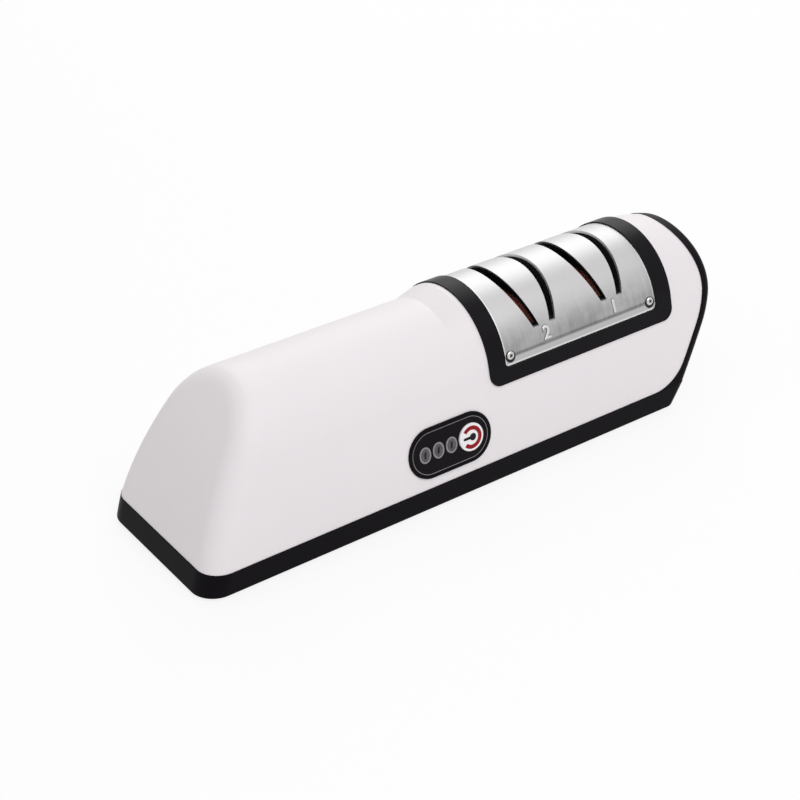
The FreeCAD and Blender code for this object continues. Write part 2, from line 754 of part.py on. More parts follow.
def disc(label, x, y, radius, low, high):
    """An upright cylinder between two heights."""
    return placed(cylinder(label, radius, low, high), x, y)


def upright_turned(label, corners):
    """A body turned about its own z axis. The corners are radius and height."""
    return turned(label, corners, axis="V_Axis", height=None)


def screw_profile(head, rise, thread, length):
    """A screw with its head on z = 0 and its thread below. A ball's cap tops the head."""
    cap = f"(screw_cap * {rise})"
    return [
        ("0", f"-({length})"),
        (thread, f"-({length})"),
        (thread, "0"),
        (head, "0"),
        (head, f"{rise} - {cap}", f"({head}^2 + {cap}^2) / (2 * {cap})"),
        ("0", rise),
    ]


pad_frame = wall_frame(f"{FRAME_LEFT} - pad_inset", "pad_height", "grip_top_shoulder", "0")


def wall_disc(label, x, radius, low, high, frame=pad_frame):
    """A cylinder that stands on the wall, between two heights over the skin."""
    return on_wall(cylinder(label, radius, low, high), frame, x)


FLOOR = "(foot_proud + wall)"
AXIS = "(foot_proud + spindle_height)"
BEARINGS = {
    "front": f"({FRAME_LEFT} + front_bearing_inset)",
    "rear": f"({FRAME_RIGHT} - rear_bearing_inset)",
}
COUPLING_START = f"({BEARINGS['front']} - coupling_gap - coupling_length)"
COUPLING_MIDDLE = f"({COUPLING_START} + coupling_length / 2)"
COUPLING_END = f"({COUPLING_START} + coupling_length)"
CAN_END = f"({COUPLING_START} - motor_gap)"
MOTOR_START = f"({CAN_END} - motor_length)"
MOUNT_MIDDLE = f"({CAN_END} - motor_length / 2)"
MOUNT_START = f"({MOUNT_MIDDLE} - mount_length / 2)"
CELL_START = f"({NOSE_END} + cell_inset)"
CELL_END = f"({CELL_START} + cell_length)"

# Slots for the blades

PAIRS = {
    "fine": f"({FRAME_MIDDLE} + pair_shift - pair_pitch / 2)",
    "coarse": f"({FRAME_MIDDLE} + pair_shift + pair_pitch / 2)",
}


def slot_prism(label, middle, way):
    """One leaning slot of a pair as a prism across the head; way is -1 or 1."""
    foot = "(foot_proud + slot_foot)"
    rise = f"({ABOVE} - {foot})"
    inner = f"{middle} + {way} * (slot_spacing - slot_width) / 2"
    outer = f"{middle} + {way} * (slot_spacing + slot_width) / 2"
    corners = [
        (inner, foot),
        (outer, foot),
        (f"{outer} + {way} * {rise} * tan(slot_tilt + slot_draft)", ABOVE),
        (f"{inner} + {way} * {rise} * tan(slot_tilt - slot_draft)", ABOVE),
    ]
    return across(label, corners)


slots = [
    slot_prism(f"{name}_slot_{'left' if way < 0 else 'right'}", middle, way)
    for name, middle in PAIRS.items()
    for way in (-1, 1)
]

# Plate screws, two in front and two behind

SCREW_X = [
    f"({FRAME_LEFT} + frame_band + screw_inset)",
    f"({FRAME_RIGHT} - frame_band - screw_inset)",
]
SCREW_HEIGHT = "(frame_foot + frame_sill + screw_height)"
screw_frames = [
    wall_frame(x, SCREW_HEIGHT, "head_top", "plate_sunk", back)
    for back in (False, True)
    for x in SCREW_X
]
plate_screws = []
clearance_pins = []
for number, frame in enumerate(screw_frames, start=1):
    profile = screw_profile(
        "plate_screw_head", "plate_screw_rise", "plate_screw_shank", "plate_screw_length",
    )
    plate_screws.append(on_wall(upright_turned(f"plate_screw_{number}", profile), frame))
    clearance_pins.append(wall_disc(
        f"plate_hole_{number}", "0", "(plate_screw_shank + seat_play)",
        "-plate_screw_length", "plate_screw_rise", frame,
    ))
keep("plate_screws", group("plate_screw_set", plate_screws))

# Head: frame, cover plate and knife guide

seat = saddle("seat_saddle", "frame_seat")
frame_window = window("frame_window", "0", "frame_corner")
ledge_window = window("ledge_window", "frame_ledge", "frame_corner - frame_ledge")
frame_band_form = common("frame_blank", frame_window, saddle("proud_saddle", "-frame_proud"))
keep("head_frame", cut("frame_ring", frame_band_form, seat, plate_window("frame_hole", "0", "plate_corner")))

plate_blank = common(
    "plate_blank",
    plate_window("plate_outline", "plate_gap", "plate_corner"),
    saddle("plate_outside", "plate_sunk"),
)
plate_inside = saddle("plate_inside", "(plate_sunk + plate_thickness)")
keep("cover_plate", cut("plate_sheet", plate_blank, plate_inside, *slots, *clearance_pins))

guide_legs = common(
    "guide_legs",
    window("guide_outline", "(frame_ledge + seat_play)", "(frame_corner - frame_ledge)"),
    seat,
)
guide_crown = common(
    "guide_crown",
    plate_window("guide_crown_outline", "plate_gap", "plate_corner"),
    plate_inside,
)
below_bridge = across("below_bridge", [
    (HEAD_START, "foot_proud"),
    (HEAD_END, "foot_proud"),
    (HEAD_END, "(foot_proud + guide_floor)"),
    (HEAD_START, "(foot_proud + guide_floor)"),
])
guide_hollow = common(
    "guide_hollow", saddle("guide_inner", "(frame_seat + guide_thickness)"), below_bridge,
)
wheel_pockets = [
    turned(f"{name}_pocket", ring(
        f"{middle} - wheel_thickness / 2 - wheel_gap",
        f"{middle} + wheel_thickness / 2 + wheel_gap",
        "0",
        "(wheel_radius + wheel_gap)",
    ))
    for name, middle in PAIRS.items()
]
guide_blank = fuse("guide_blank", guide_legs, guide_crown)
keep("knife_guide", cut("guide_block", guide_blank, guide_hollow, *slots, *wheel_pockets, *plate_screws))

# Control panel. Its pieces lie in the frame of the front wall, z outwards.

BACK = "(-bezel_seat - bezel_back)"
PANEL_FACE = "(bezel_proud - panel_drop)"
PANEL_FOOT = f"({PANEL_FACE} - panel_thickness)"
BOARD_FACE = "(-board_depth)"
OUTSIDE = "(bezel_proud + button_proud + tool_over)"
SWITCH_TOP = "(switch_rise - board_depth)"
STEM_END = f"({SWITCH_TOP} + button_travel + seat_play)"
LENSES = [f"(lens_first + {step} * lens_pitch)" for step in range(3)]


def wall_stadium(label, inset, low, high):
    """The bezel's outline, moved inwards, between two heights over the wall."""
    length = f"(pad_length - 2 * ({inset}))"
    width = f"(pad_width - 2 * ({inset}))"
    body = prism(
        label, "XY_Plane", low, f"({high}) - ({low})",
        lambda sketch: stadium(sketch, "0", "0", length, width),
    )
    return on_wall(body, pad_frame)


def wall_box(label, x, width, height, low, high):
    body = prism(
        label, "XY_Plane", low, f"({high}) - ({low})",
        lambda sketch: box(
            sketch, f"-({width}) / 2", f"({width}) / 2", f"-({height}) / 2", f"({height}) / 2",
        ),
    )
    return on_wall(body, pad_frame, x)


def lens_form(label, x, growth, low, high):
    body = prism(
        label, "XY_Plane", low, f"({high}) - ({low})",
        lambda sketch: stadium(
            sketch, "0", "0", f"(lens_length + 2 * ({growth}))", f"(lens_width + 2 * ({growth}))", True,
        ),
    )
    return on_wall(body, pad_frame, x)


button_hole = wall_disc(
    "button_hole", "button_x", "(button_radius + button_play)", BACK + " - tool_over", OUTSIDE,
)
pipe_holes = [
    wall_disc(f"pipe_hole_{number}", x, "(pipe_radius + seat_play)", BACK + " - tool_over", PANEL_FACE)
    for number, x in enumerate(LENSES, start=1)
]
bezel_blank = fuse(
    "bezel_blank",
    wall_stadium("bezel_rim_form", "0", "-bezel_seat", "bezel_proud"),
    wall_stadium("bezel_plug", "(bezel_ledge + seat_play)", BACK, "-bezel_seat"),
)
bezel_recess = wall_stadium("bezel_recess", "bezel_rim", PANEL_FOOT, OUTSIDE)
keep("button_bezel", cut("bezel_form", bezel_blank, bezel_recess, button_hole, *pipe_holes))

lens_windows = [
    lens_form(f"lens_window_{number}", x, "seat_play", PANEL_FOOT + " - tool_over", OUTSIDE)
    for number, x in enumerate(LENSES, start=1)
]
panel_blank = wall_stadium("panel_blank", "(bezel_rim + seat_play / 2)", PANEL_FOOT, PANEL_FACE)
keep("button_panel", cut("panel_form", panel_blank, button_hole, *lens_windows))

lenses = []
for number, x in enumerate(LENSES, start=1):
    lenses.append(fuse(
        f"lens_{number}",
        lens_form(f"lens_face_{number}", x, "0", PANEL_FOOT, f"{PANEL_FACE} + lens_proud"),
        wall_disc(
            f"lens_pipe_{number}", x, "pipe_radius", f"{BOARD_FACE} + led_rise + pipe_gap", PANEL_FOOT,
        ),
    ))
keep("indicator_lenses", group("lens_set", lenses))

button = upright_turned("power_button", [
    ("0", STEM_END),
    ("button_stem", STEM_END),
    ("button_stem", f"({BACK} - seat_play - button_lip)"),
    ("(button_radius + button_lip)", f"({BACK} - seat_play - button_lip)"),
    ("(button_radius + button_lip)", f"({BACK} - seat_play)"),
    ("button_radius", f"({BACK} - seat_play)"),
    ("button_radius", f"({PANEL_FACE} + button_proud - button_edge)", "button_edge"),
    ("(button_radius - button_edge)", f"({PANEL_FACE} + button_proud)"),
    ("0", f"({PANEL_FACE} + button_proud)"),
])
keep("power_button", on_wall(button, pad_frame, "button_x"))

# Control board with its switch and lights

BOARD_BACK = f"({BOARD_FACE} - board_thickness)"
posts = []
post_bores = []
board_bores = []
board_screws = []
for way in (-1, 1):
    x = f"({way} * post_spacing / 2)"
    side = "left" if way < 0 else "right"
    posts.append(wall_disc(f"board_post_{side}", x, "post_radius", BOARD_FACE, "-bezel_seat"))
    post_bores.append(wall_disc(
        f"post_bore_{side}", x, "board_screw_radius", BOARD_FACE, f"{BOARD_FACE} + board_screw_bite",
    ))
    board_bores.append(wall_disc(
        f"board_bore_{side}", x, "(board_screw_radius + seat_play)",
        f"({BOARD_BACK} - tool_over)", f"({BOARD_FACE} + tool_over)",
    ))
    board_screws.append(fuse(
        f"board_screw_{side}",
        wall_disc(
            f"board_thread_{side}", x, "board_screw_radius", BOARD_BACK, f"{BOARD_FACE} + board_screw_bite",
        ),
        wall_disc(
            f"board_head_{side}", x, "board_screw_head", f"{BOARD_BACK} - board_screw_rise", BOARD_BACK,
        ),
    ))
keep("board_screws", group("board_screw_set", board_screws))
board_blank = wall_box("board_blank", "0", "board_length", "board_width", BOARD_BACK, BOARD_FACE)
keep("control_board", cut("board_form", board_blank, *board_bores))

switch_box = wall_box("switch_box", "button_x", "switch_side", "switch_side", BOARD_FACE, SWITCH_TOP)
switch_bore = wall_disc(
    "switch_bore", "button_x", "(plunger_radius + seat_play)", f"({SWITCH_TOP} - plunger_bore)", "0",
)
keep("switch_body", cut("switch_form", switch_box, switch_bore))
keep("switch_plunger", wall_disc(
    "plunger_form", "button_x", "plunger_radius",
    f"({SWITCH_TOP} - plunger_bore + button_travel + seat_play)", STEM_END,
))
keep("status_leds", group("led_set", [
    wall_box(f"led_{number}", x, "led_side", "led_width", BOARD_FACE, f"{BOARD_FACE} + led_rise")
    for number, x in enumerate(LENSES, start=1)
]))

# Upper housing

seat_cut = wall_stadium("bezel_seat_cut", "-seat_play", "-bezel_seat", OUTSIDE)
through_cut = wall_stadium("bezel_through_cut", "bezel_ledge", "-2 * wall - tool_over", "0")
window_step = cut("window_step", frame_window, seat)
rear = rear_region("rear_region")
BOSS_X = (f"({NOSE_END} + nose_boss_inset)", f"({REAR_END} - rear_boss_inset)")
CORNERS = [(x, f"({way} * (base_width / 2 - boss_inset))") for x in BOSS_X for way in (-1, 1)]
bosses = [
    disc(f"boss_{number}", x, y, "boss_radius", PARTING, "(foot_proud + boss_top)")
    for number, (x, y) in enumerate(CORNERS, start=1)
]
SCREW_SEAT = "(foot_proud + base_screw_sink)"
base_threads = [
    disc(
        f"base_thread_{number}", x, y, "base_screw_radius",
        SCREW_SEAT, f"({SCREW_SEAT} + base_screw_length)",
    )
    for number, (x, y) in enumerate(CORNERS, start=1)
]
shell = cut(
    "housing_shell", skin, cavity, rear, window_step, ledge_window, seat_cut, through_cut,
)
boss_forms = common("boss_forms", fuse("boss_set", *bosses), skin)
housing = fuse("housing_with_bosses", shell, boss_forms, *posts)
keep("upper_housing", cut("housing_form", housing, *base_threads, *post_bores))

# Base with the rear rim

rim = common("rear_rim", rim_skin, rear)
tray = cut("base_tray", fuse("base_and_rim", tub, rim), tub_cavity, cavity)
pillars = [
    disc(f"pillar_{number}", x, y, "pillar_radius", "(foot_proud + wall / 2)", PARTING)
    for number, (x, y) in enumerate(CORNERS, start=1)
]
head_pockets = [
    disc(
        f"head_pocket_{number}", x, y, "(base_screw_head + 3 * seat_play)",
        "(foot_proud - tool_over)", SCREW_SEAT,
    )
    for number, (x, y) in enumerate(CORNERS, start=1)
]
through_holes = [
    disc(
        f"through_hole_{number}", x, y, "(base_screw_radius + seat_play)",
        "foot_proud", f"({PARTING} + tool_over)",
    )
    for number, (x, y) in enumerate(CORNERS, start=1)
]
FEET = [
    (f"({along} * (total_length / 2 - foot_inset_x))", f"({way} * (base_width / 2 - foot_inset_y))")
    for along in (-1, 1)
    for way in (-1, 1)
]
foot_recesses = [
    disc(
        f"foot_recess_{number}", x, y,
        "(foot_radius + seat_play)", "(foot_proud - tool_over)", "(foot_proud + foot_sunk)",
    )
    for number, (x, y) in enumerate(FEET, start=1)
]

# Screws that hold brackets and motor mount to the floor

FOOT_TOP = f"({FLOOR} + bracket_foot)"
SOLES = [(f"({start} - bracket_reach / 2)", "bracket_width") for start in BEARINGS.values()]
SOLES.append((MOUNT_MIDDLE, "mount_foot"))
floor_spots = [
    (x, f"({way} * ({width} / 2 - small_screw_head - sole_margin))") for x, width in SOLES for way in (-1, 1)
]
floor_screws = []
for number, (x, y) in enumerate(floor_spots, start=1):
    screw = upright_turned(f"chassis_screw_{number}", screw_profile(
        "small_screw_head", "small_screw_rise", "small_screw_radius", "(bracket_foot + small_screw_bite)",
    ))
    bind(screw, "Placement.Base.z", FOOT_TOP)
    floor_screws.append(placed(screw, x, y))
doc.recompute()
keep("chassis_screws", group("chassis_screw_set", floor_screws))

SOCKET_Z = "(foot_proud + socket_height)"
socket_frame = Placement(
    Vector(size(rear_x(SOCKET_Z, "-reveal")), 0, size(SOCKET_Z)),
    Rotation(Vector(0, 1, 0), size("90 + rear_lean")),
)


def socket_shape(label, inset, low, high):
    """The socket's rounded outline, long across the rear end, z along the wall's normal."""
    body = prism(
        label, "XY_Plane", low, f"({high}) - ({low})",
        lambda sketch: stadium(
            sketch, "0", "0", f"(socket_width - 2 * ({inset}))", f"(socket_rise - 2 * ({inset}))", True,
        ),
    )
    body.Placement = socket_frame
    return body


socket_hole = socket_shape("socket_hole", "-seat_play", "-socket_depth", "tool_over")
keep("base_shell", cut(
    "base_form",
    fuse("base_with_pillars", tray, *pillars),
    *head_pockets,
    *through_holes,
    *foot_recesses,
    socket_hole,
    *floor_screws,
))

socket_outside = socket_shape("socket_outside", "0", "-socket_depth", "-reveal")
socket_inside = socket_shape("socket_inside", "socket_wall", "-socket_depth + socket_wall", "tool_over")
tongue = prism(
    "socket_tongue_form", "XY_Plane", "-socket_depth", "tongue_length",
    lambda sketch: box(sketch, "-socket_wall / 2", "socket_wall / 2", "-tongue_width / 2", "tongue_width / 2"),
)
tongue.Placement = socket_frame
keep("charging_socket", fuse("socket_form", cut("socket_can", socket_outside, socket_inside), tongue))
socket_board = prism(
    "charging_board_form", "XY_Plane", "-charging_board_end", "(charging_board_end - wall - tool_over)",
    lambda sketch: box(
        sketch, "socket_rise / 2", "(socket_rise / 2 + board_thickness)", "-socket_width", "socket_width",
    ),
)
socket_board.Placement = socket_frame
keep("charging_board", socket_board)

# Base screws and feet

base_screws = []
feet = []
for number, (x, y) in enumerate(CORNERS, start=1):
    screw = upright_turned(f"base_screw_{number}", [
        ("0", "-base_screw_rise"),
        ("base_screw_head", "-base_screw_rise"),
        ("base_screw_head", "0"),
        ("base_screw_radius", "0"),
        ("base_screw_radius", "base_screw_length"),
        ("0", "base_screw_length"),
    ])
    bind(screw, "Placement.Base.z", SCREW_SEAT)
    base_screws.append(placed(screw, x, y))
for number, (x, y) in enumerate(FEET, start=1):
    foot = upright_turned(f"rubber_foot_{number}", [
        ("0", "0"),
        ("(foot_radius - foot_edge_cut)", "0"),
        ("foot_radius", "foot_edge_cut"),
        ("foot_radius", "(foot_proud + foot_sunk)"),
        ("0", "(foot_proud + foot_sunk)"),
    ])
    feet.append(placed(foot, x, y))
doc.recompute()
keep("base_screws", group("base_screw_set", base_screws))
keep("rubber_feet", group("foot_set", feet))

# Rotor: spindle, wheels and what clamps them, coupling and the motor's turning parts

FIRST_FLANGE = f"({PAIRS['fine']} - wheel_thickness / 2 - flange_thickness)"
COLLAR_START = f"({BEARINGS['front']} + bearing_width + collar_gap)"
SPINDLE_END = f"({BEARINGS['rear']} + bearing_width + spindle_tail)"
keep("spindle", turned("spindle_form", [
    (f"({COUPLING_MIDDLE} + shaft_gap / 2)", "0"),
    (SPINDLE_END, "0"),
    (SPINDLE_END, "(spindle_radius - spindle_edge)"),
    (f"({SPINDLE_END} - spindle_edge)", "spindle_radius"),
    (FIRST_FLANGE, "spindle_radius"),
    (FIRST_FLANGE, "collar_radius"),
    (COLLAR_START, "collar_radius"),
    (COLLAR_START, "spindle_radius"),
    (f"({COUPLING_MIDDLE} + shaft_gap / 2)", "spindle_radius"),
]))
CAP_START = f"({MOTOR_START} - motor_cap)"
MOTOR_TAIL = f"({CAP_START} - bush_proud - shaft_tail)"
keep("motor_shaft", turned("motor_shaft_form", ring(
    MOTOR_TAIL, f"({COUPLING_MIDDLE} - shaft_gap / 2)", "0", "motor_shaft_radius",
)))
keep("shaft_coupling", turned("coupling_form", [
    (COUPLING_START, "motor_shaft_radius"),
    (COUPLING_MIDDLE, "motor_shaft_radius"),
    (COUPLING_MIDDLE, "spindle_radius"),
    (COUPLING_END, "spindle_radius"),
    (COUPLING_END, "coupling_radius"),
    (COUPLING_START, "coupling_radius"),
]))
keep("motor_armature", turned("armature_form", ring(
    f"({MOUNT_MIDDLE} - armature_length / 2)", f"({MOUNT_MIDDLE} + armature_length / 2)",
    "motor_shaft_radius", "armature_radius",
)))
flanges = []
for name, middle in PAIRS.items():
    keep(f"{name}_wheel", turned(f"{name}_wheel_form", [
        (f"({middle} - wheel_thickness / 2)", "spindle_radius"),
        (f"({middle} + wheel_thickness / 2)", "spindle_radius"),
        (f"({middle} + wheel_thickness / 2)", "(wheel_radius - wheel_chamfer)"),
        (f"({middle} + wheel_thickness / 2 - wheel_chamfer)", "wheel_radius"),
        (f"({middle} - wheel_thickness / 2 + wheel_chamfer)", "wheel_radius"),
        (f"({middle} - wheel_thickness / 2)", "(wheel_radius - wheel_chamfer)"),
    ]))
    for way in (-1, 1):
        inside = f"({middle} + {way} * wheel_thickness / 2)"
        outside = f"({inside} + {way} * flange_thickness)"
        ends = (outside, inside) if way < 0 else (inside, outside)
        flanges.append(turned(
            f"{name}_flange_{'left' if way < 0 else 'right'}", ring(*ends, "spindle_radius", "flange_radius"),
        ))
keep("wheel_flanges", group("flange_set", flanges))
keep("wheel_spacer", turned("spacer_form", ring(
    f"({PAIRS['fine']} + wheel_thickness / 2 + flange_thickness)",
    f"({PAIRS['coarse']} - wheel_thickness / 2 - flange_thickness)",
    "spindle_radius",
    "spacer_radius",
)))


def hexagon(sketch):
    corner = "(nut_flats / 2 / cos(30))"
    outline(sketch, [
        (f"{corner} * cos({step * 60})", f"{corner} * sin({step * 60})") for step in range(6)
    ])


nut = prism(
    "nut_form", "YZ_Plane", f"({PAIRS['coarse']} + wheel_thickness / 2 + flange_thickness)", "nut_thickness",
    hexagon, lambda sketch: circle(sketch, "0", "0", "spindle_radius"),
)
bind(nut, "Placement.Base.z", AXIS)
doc.recompute()
keep("spindle_nut", nut)

# Bearings and brackets

for name, start in BEARINGS.items():
    keep(f"{name}_bearing", turned(f"{name}_bearing_form", ring(
        start, f"({start} + bearing_width)", "(spindle_radius + bearing_play)", "bearing_radius",
    )))
    top = "(bearing_radius + bracket_collar)"
    upright = prism(
        f"{name}_upright", "YZ_Plane", start, "bearing_width",
        lambda sketch: outline(sketch, [
            ("-bracket_width / 2", FLOOR),
            ("bracket_width / 2", FLOOR),
            ("bracket_width / 2", FOOT_TOP),
            (top, AXIS, top),
            ("0", f"{AXIS} + {top}", top),
            (f"-{top}", AXIS),
            ("-bracket_width / 2", FOOT_TOP),
        ]),
        lambda sketch: circle(sketch, "0", AXIS, "bearing_radius"),
    )
    sole = prism(
        f"{name}_sole", "XY_Plane", FLOOR, "bracket_foot",
        lambda sketch: box(
            sketch, f"({start} - bracket_reach)", f"({start} + bearing_width + bracket_heel)",
            "-bracket_width / 2", "bracket_width / 2",
        ),
    )
    keep(f"{name}_bracket", cut(
        f"{name}_bracket_form", fuse(f"{name}_bracket_blank", upright, sole), *floor_screws,
    ))

# Motor

CAN_ROOM = "(motor_radius - motor_wall)"
SPIGOT_END = f"({MOTOR_START} + spigot)"
keep("motor_can", turned("can_form", [
    (MOTOR_START, CAN_ROOM),
    (f"({CAN_END} - motor_wall)", CAN_ROOM),
    (f"({CAN_END} - motor_wall)", "bush_radius"),
    (CAN_END, "bush_radius"),
    (CAN_END, "motor_radius"),
    (MOTOR_START, "motor_radius"),
]))
keep("motor_end_cap", turned("cap_form", [
    (CAP_START, "bush_radius"),
    (SPIGOT_END, "bush_radius"),
    (SPIGOT_END, CAN_ROOM),
    (MOTOR_START, CAN_ROOM),
    (MOTOR_START, "motor_radius"),
    (CAP_START, "motor_radius"),
]))
BUSH_ENDS = {
    "rear_bush": (f"({CAP_START} - bush_proud)", SPIGOT_END),
    "front_bush": (f"({CAN_END} - bush_length)", f"({CAN_END} + bush_proud)"),
}
BUSH_BORE = "(motor_shaft_radius + bearing_play)"
keep("motor_bushes", group("bush_set", [
    turned(label, ring(*ends, BUSH_BORE, "bush_radius")) for label, ends in BUSH_ENDS.items()
]))
MAGNET_REACH = "(armature_length / 2 + magnet_over)"
keep("motor_magnets", turned("magnet_form", ring(
    f"({MOUNT_MIDDLE} - {MAGNET_REACH})", f"({MOUNT_MIDDLE} + {MAGNET_REACH})",
    f"({CAN_ROOM} - magnet_thickness)", CAN_ROOM,
)))

mount_block = prism(
    "mount_block", "YZ_Plane", MOUNT_START, "mount_length",
    lambda sketch: outline(sketch, [
        ("-mount_foot / 2", FLOOR),
        ("mount_foot / 2", FLOOR),
        ("mount_foot / 2", FOOT_TOP),
        ("motor_radius", FOOT_TOP),
        ("motor_radius", "(foot_proud + mount_top)"),
        ("-motor_radius", "(foot_proud + mount_top)"),
        ("-motor_radius", FOOT_TOP),
        ("-mount_foot / 2", FOOT_TOP),
    ]),
)
mount_hollow = prism(
    "mount_hollow", "YZ_Plane", MOUNT_START, "mount_length",
    lambda sketch: box(
        sketch, "-(motor_radius - mount_wall)", "(motor_radius - mount_wall)",
        FOOT_TOP, f"({AXIS} - motor_radius - mount_wall)",
    ),
)
motor_room = turned("motor_room", ring(MOTOR_START, CAN_END, "0", "motor_radius"))
strap_screws = []
for way in (-1, 1):
    screw = upright_turned(f"strap_screw_{'front' if way < 0 else 'back'}", screw_profile(
        "small_screw_head", "small_screw_rise", "small_screw_radius", "(strap_thickness + small_screw_bite)",
    ))
    reach = size("motor_radius + strap_thickness")
    screw.Placement = Placement(
        Vector(size(MOUNT_MIDDLE), way * reach, size("foot_proud + strap_screw_height")),
        Rotation(Vector(1, 0, 0), -way * 90),
    )
    strap_screws.append(screw)
keep("motor_mount", cut("mount_form", mount_block, mount_hollow, motor_room, *floor_screws, *strap_screws))
outer = "(motor_radius + strap_thickness)"
low = "(foot_proud + strap_foot)"
strap_band = prism(
    "strap_band", "YZ_Plane", f"({MOUNT_MIDDLE} - strap_width / 2)", "strap_width",
    lambda sketch: outline(sketch, [
        (f"-{outer}", low),
        ("-motor_radius", low),
        ("-motor_radius", AXIS, "-motor_radius"),
        ("0", f"({AXIS} + motor_radius)", "-motor_radius"),
        ("motor_radius", AXIS),
        ("motor_radius", low),
        (outer, low),
        (outer, AXIS, outer),
        ("0", f"({AXIS} + {outer})", outer),
        (f"-{outer}", AXIS),
    ]),
)
keep("motor_strap", cut("strap_form", strap_band, *strap_screws))
keep("strap_screws", group("strap_screw_set", strap_screws))

# Cells in their cradle

CELL_AXIS = f"({FLOOR} + cradle_floor + cell_radius)"
CELL_TIP = "(cell_radius - cell_edge)"
cells = []
for way in (-1, 1):
    cell = turned(f"cell_{'front' if way < 0 else 'back'}", [
        (CELL_START, "0"),
        (CELL_END, "0"),
        (CELL_END, CELL_TIP),
        (f"({CELL_END} - cell_edge)", "cell_radius"),
        (f"({CELL_START} + cell_edge)", "cell_radius"),
        (CELL_START, CELL_TIP),
    ], height=CELL_AXIS)
    cells.append(placed(cell, y=f"({way} * cell_spacing / 2)"))
doc.recompute()
keep("battery_cells", group("cell_set", cells))


def floor_box(label, grow_x, half_width, low, high):
    return prism(
        label, "XY_Plane", low, f"({high}) - ({low})",
        lambda sketch: box(
            sketch, f"({CELL_START} - ({grow_x}))", f"({CELL_END} + ({grow_x}))",
            f"-({half_width})", half_width,
        ),
    )


INNER = "(cell_spacing / 2 + cell_radius)"
keep("battery_cradle", cut(
    "cradle_form",
    floor_box(
        "cradle_block", "contact_thickness + cradle_wall", f"({INNER} + cradle_wall)",
        FLOOR, f"({FLOOR} + cradle_height)",
    ),
    floor_box(
        "cradle_room", "contact_thickness", INNER,
        f"({FLOOR} + cradle_floor)", f"({FLOOR} + cradle_height + tool_over)",
    ),
))
contacts = []
for name, near in (("nose", f"({CELL_START} - contact_thickness)"), ("rear", CELL_END)):
    contacts.append(prism(
        f"contact_{name}", "YZ_Plane", near, "contact_thickness",
        lambda sketch: stadium(
            sketch, "0", CELL_AXIS, "(cell_spacing + contact_height)", "contact_height",
        ),
    ))
keep("cell_contacts", group("contact_set", contacts))

# Every object has to be sound before anything is written

doc.recompute()
failed = [item.Name for item in doc.Objects if "Invalid" in item.State or "Error" in item.State]
if failed:
    raise RuntimeError("not sound: " + ", ".join(failed))
for feature in parts:
    if feature.Shape.isNull() or not feature.Shape.isValid() or not feature.Shape.Solids:
        raise RuntimeError(f"{feature.Label} has no sound shape")

os.makedirs("parts", exist_ok=True)
for feature in parts:
    feature.Shape.exportStep(f"parts/{feature.Label}.step")
    box_size = feature.Shape.optimalBoundingBox()
    print(
        f"{feature.Label:18s} {len(feature.Shape.Solids)} solids {feature.Shape.Volume:9.1f} mm3",
        f"{box_size.XMin:7.2f} {box_size.XMax:7.2f} {box_size.YMin:7.2f} {box_size.YMax:7.2f}",
        f"{box_size.ZMin:6.2f} {box_size.ZMax:6.2f}",
    )
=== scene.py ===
"""Finishes, prints, small forms and studio of the electric knife sharpener, in metres."""

import json
import math

import bmesh
import bpy
from mathutils import Matrix, Vector


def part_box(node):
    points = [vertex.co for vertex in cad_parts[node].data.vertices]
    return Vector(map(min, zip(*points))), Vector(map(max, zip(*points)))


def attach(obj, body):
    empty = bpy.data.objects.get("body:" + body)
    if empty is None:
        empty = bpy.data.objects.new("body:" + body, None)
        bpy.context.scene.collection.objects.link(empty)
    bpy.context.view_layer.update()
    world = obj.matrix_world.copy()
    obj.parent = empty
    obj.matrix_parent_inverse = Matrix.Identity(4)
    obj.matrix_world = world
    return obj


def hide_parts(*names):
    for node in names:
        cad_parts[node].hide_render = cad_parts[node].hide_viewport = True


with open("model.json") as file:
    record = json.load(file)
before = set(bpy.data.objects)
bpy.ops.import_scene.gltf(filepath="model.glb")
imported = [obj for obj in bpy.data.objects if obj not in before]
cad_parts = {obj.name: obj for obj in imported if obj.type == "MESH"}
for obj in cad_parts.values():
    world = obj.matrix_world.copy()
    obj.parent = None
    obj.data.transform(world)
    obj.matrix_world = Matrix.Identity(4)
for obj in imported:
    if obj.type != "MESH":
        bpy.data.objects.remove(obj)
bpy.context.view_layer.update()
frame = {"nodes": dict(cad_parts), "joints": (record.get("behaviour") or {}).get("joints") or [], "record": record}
nodes = frame["nodes"]
MM = 0.001
cover_low, cover_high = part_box("cover_plate")
HEM_TOP = cover_low.z + 3.0 * MM
CROWN_RADIUS = 24.95 * MM
AXIS_HEIGHT = cover_high.z - CROWN_RADIUS
UNMOVED = Matrix.Identity(4)
TINY = 1e-7


# Materials

MIX_FIRST = 6
MIX_SECOND = 7
MIX_COLOUR = 2


class Wire:
    """The output of a shader node. Sums and products of wires and numbers add Math nodes."""

    def __init__(self, finish, socket):
        self.finish = finish
        self.socket = socket

    def math(self, operation, *values):
        return self.finish.add("Math", values, operation=operation)

    def __add__(self, other):
        return self.math("ADD", self, other)

    __radd__ = __add__

    def __mul__(self, other):
        return self.math("MULTIPLY", self, other)

    __rmul__ = __mul__

    def __sub__(self, other):
        return self.math("SUBTRACT", self, other)

    def __rsub__(self, other):
        return self.math("SUBTRACT", other, self)

    def __abs__(self):
        return self.math("ABSOLUTE", self)

    def clamped(self):
        return self.math("MINIMUM", self.math("MAXIMUM", self, 0.0), 1.0)

    def ramp(self, low, high):
        """0 at low and 1 at high, smooth between."""
        return self.finish.add(
            "MapRange", [self, low, high, 0.0, 1.0], interpolation_type="SMOOTHSTEP",
        )


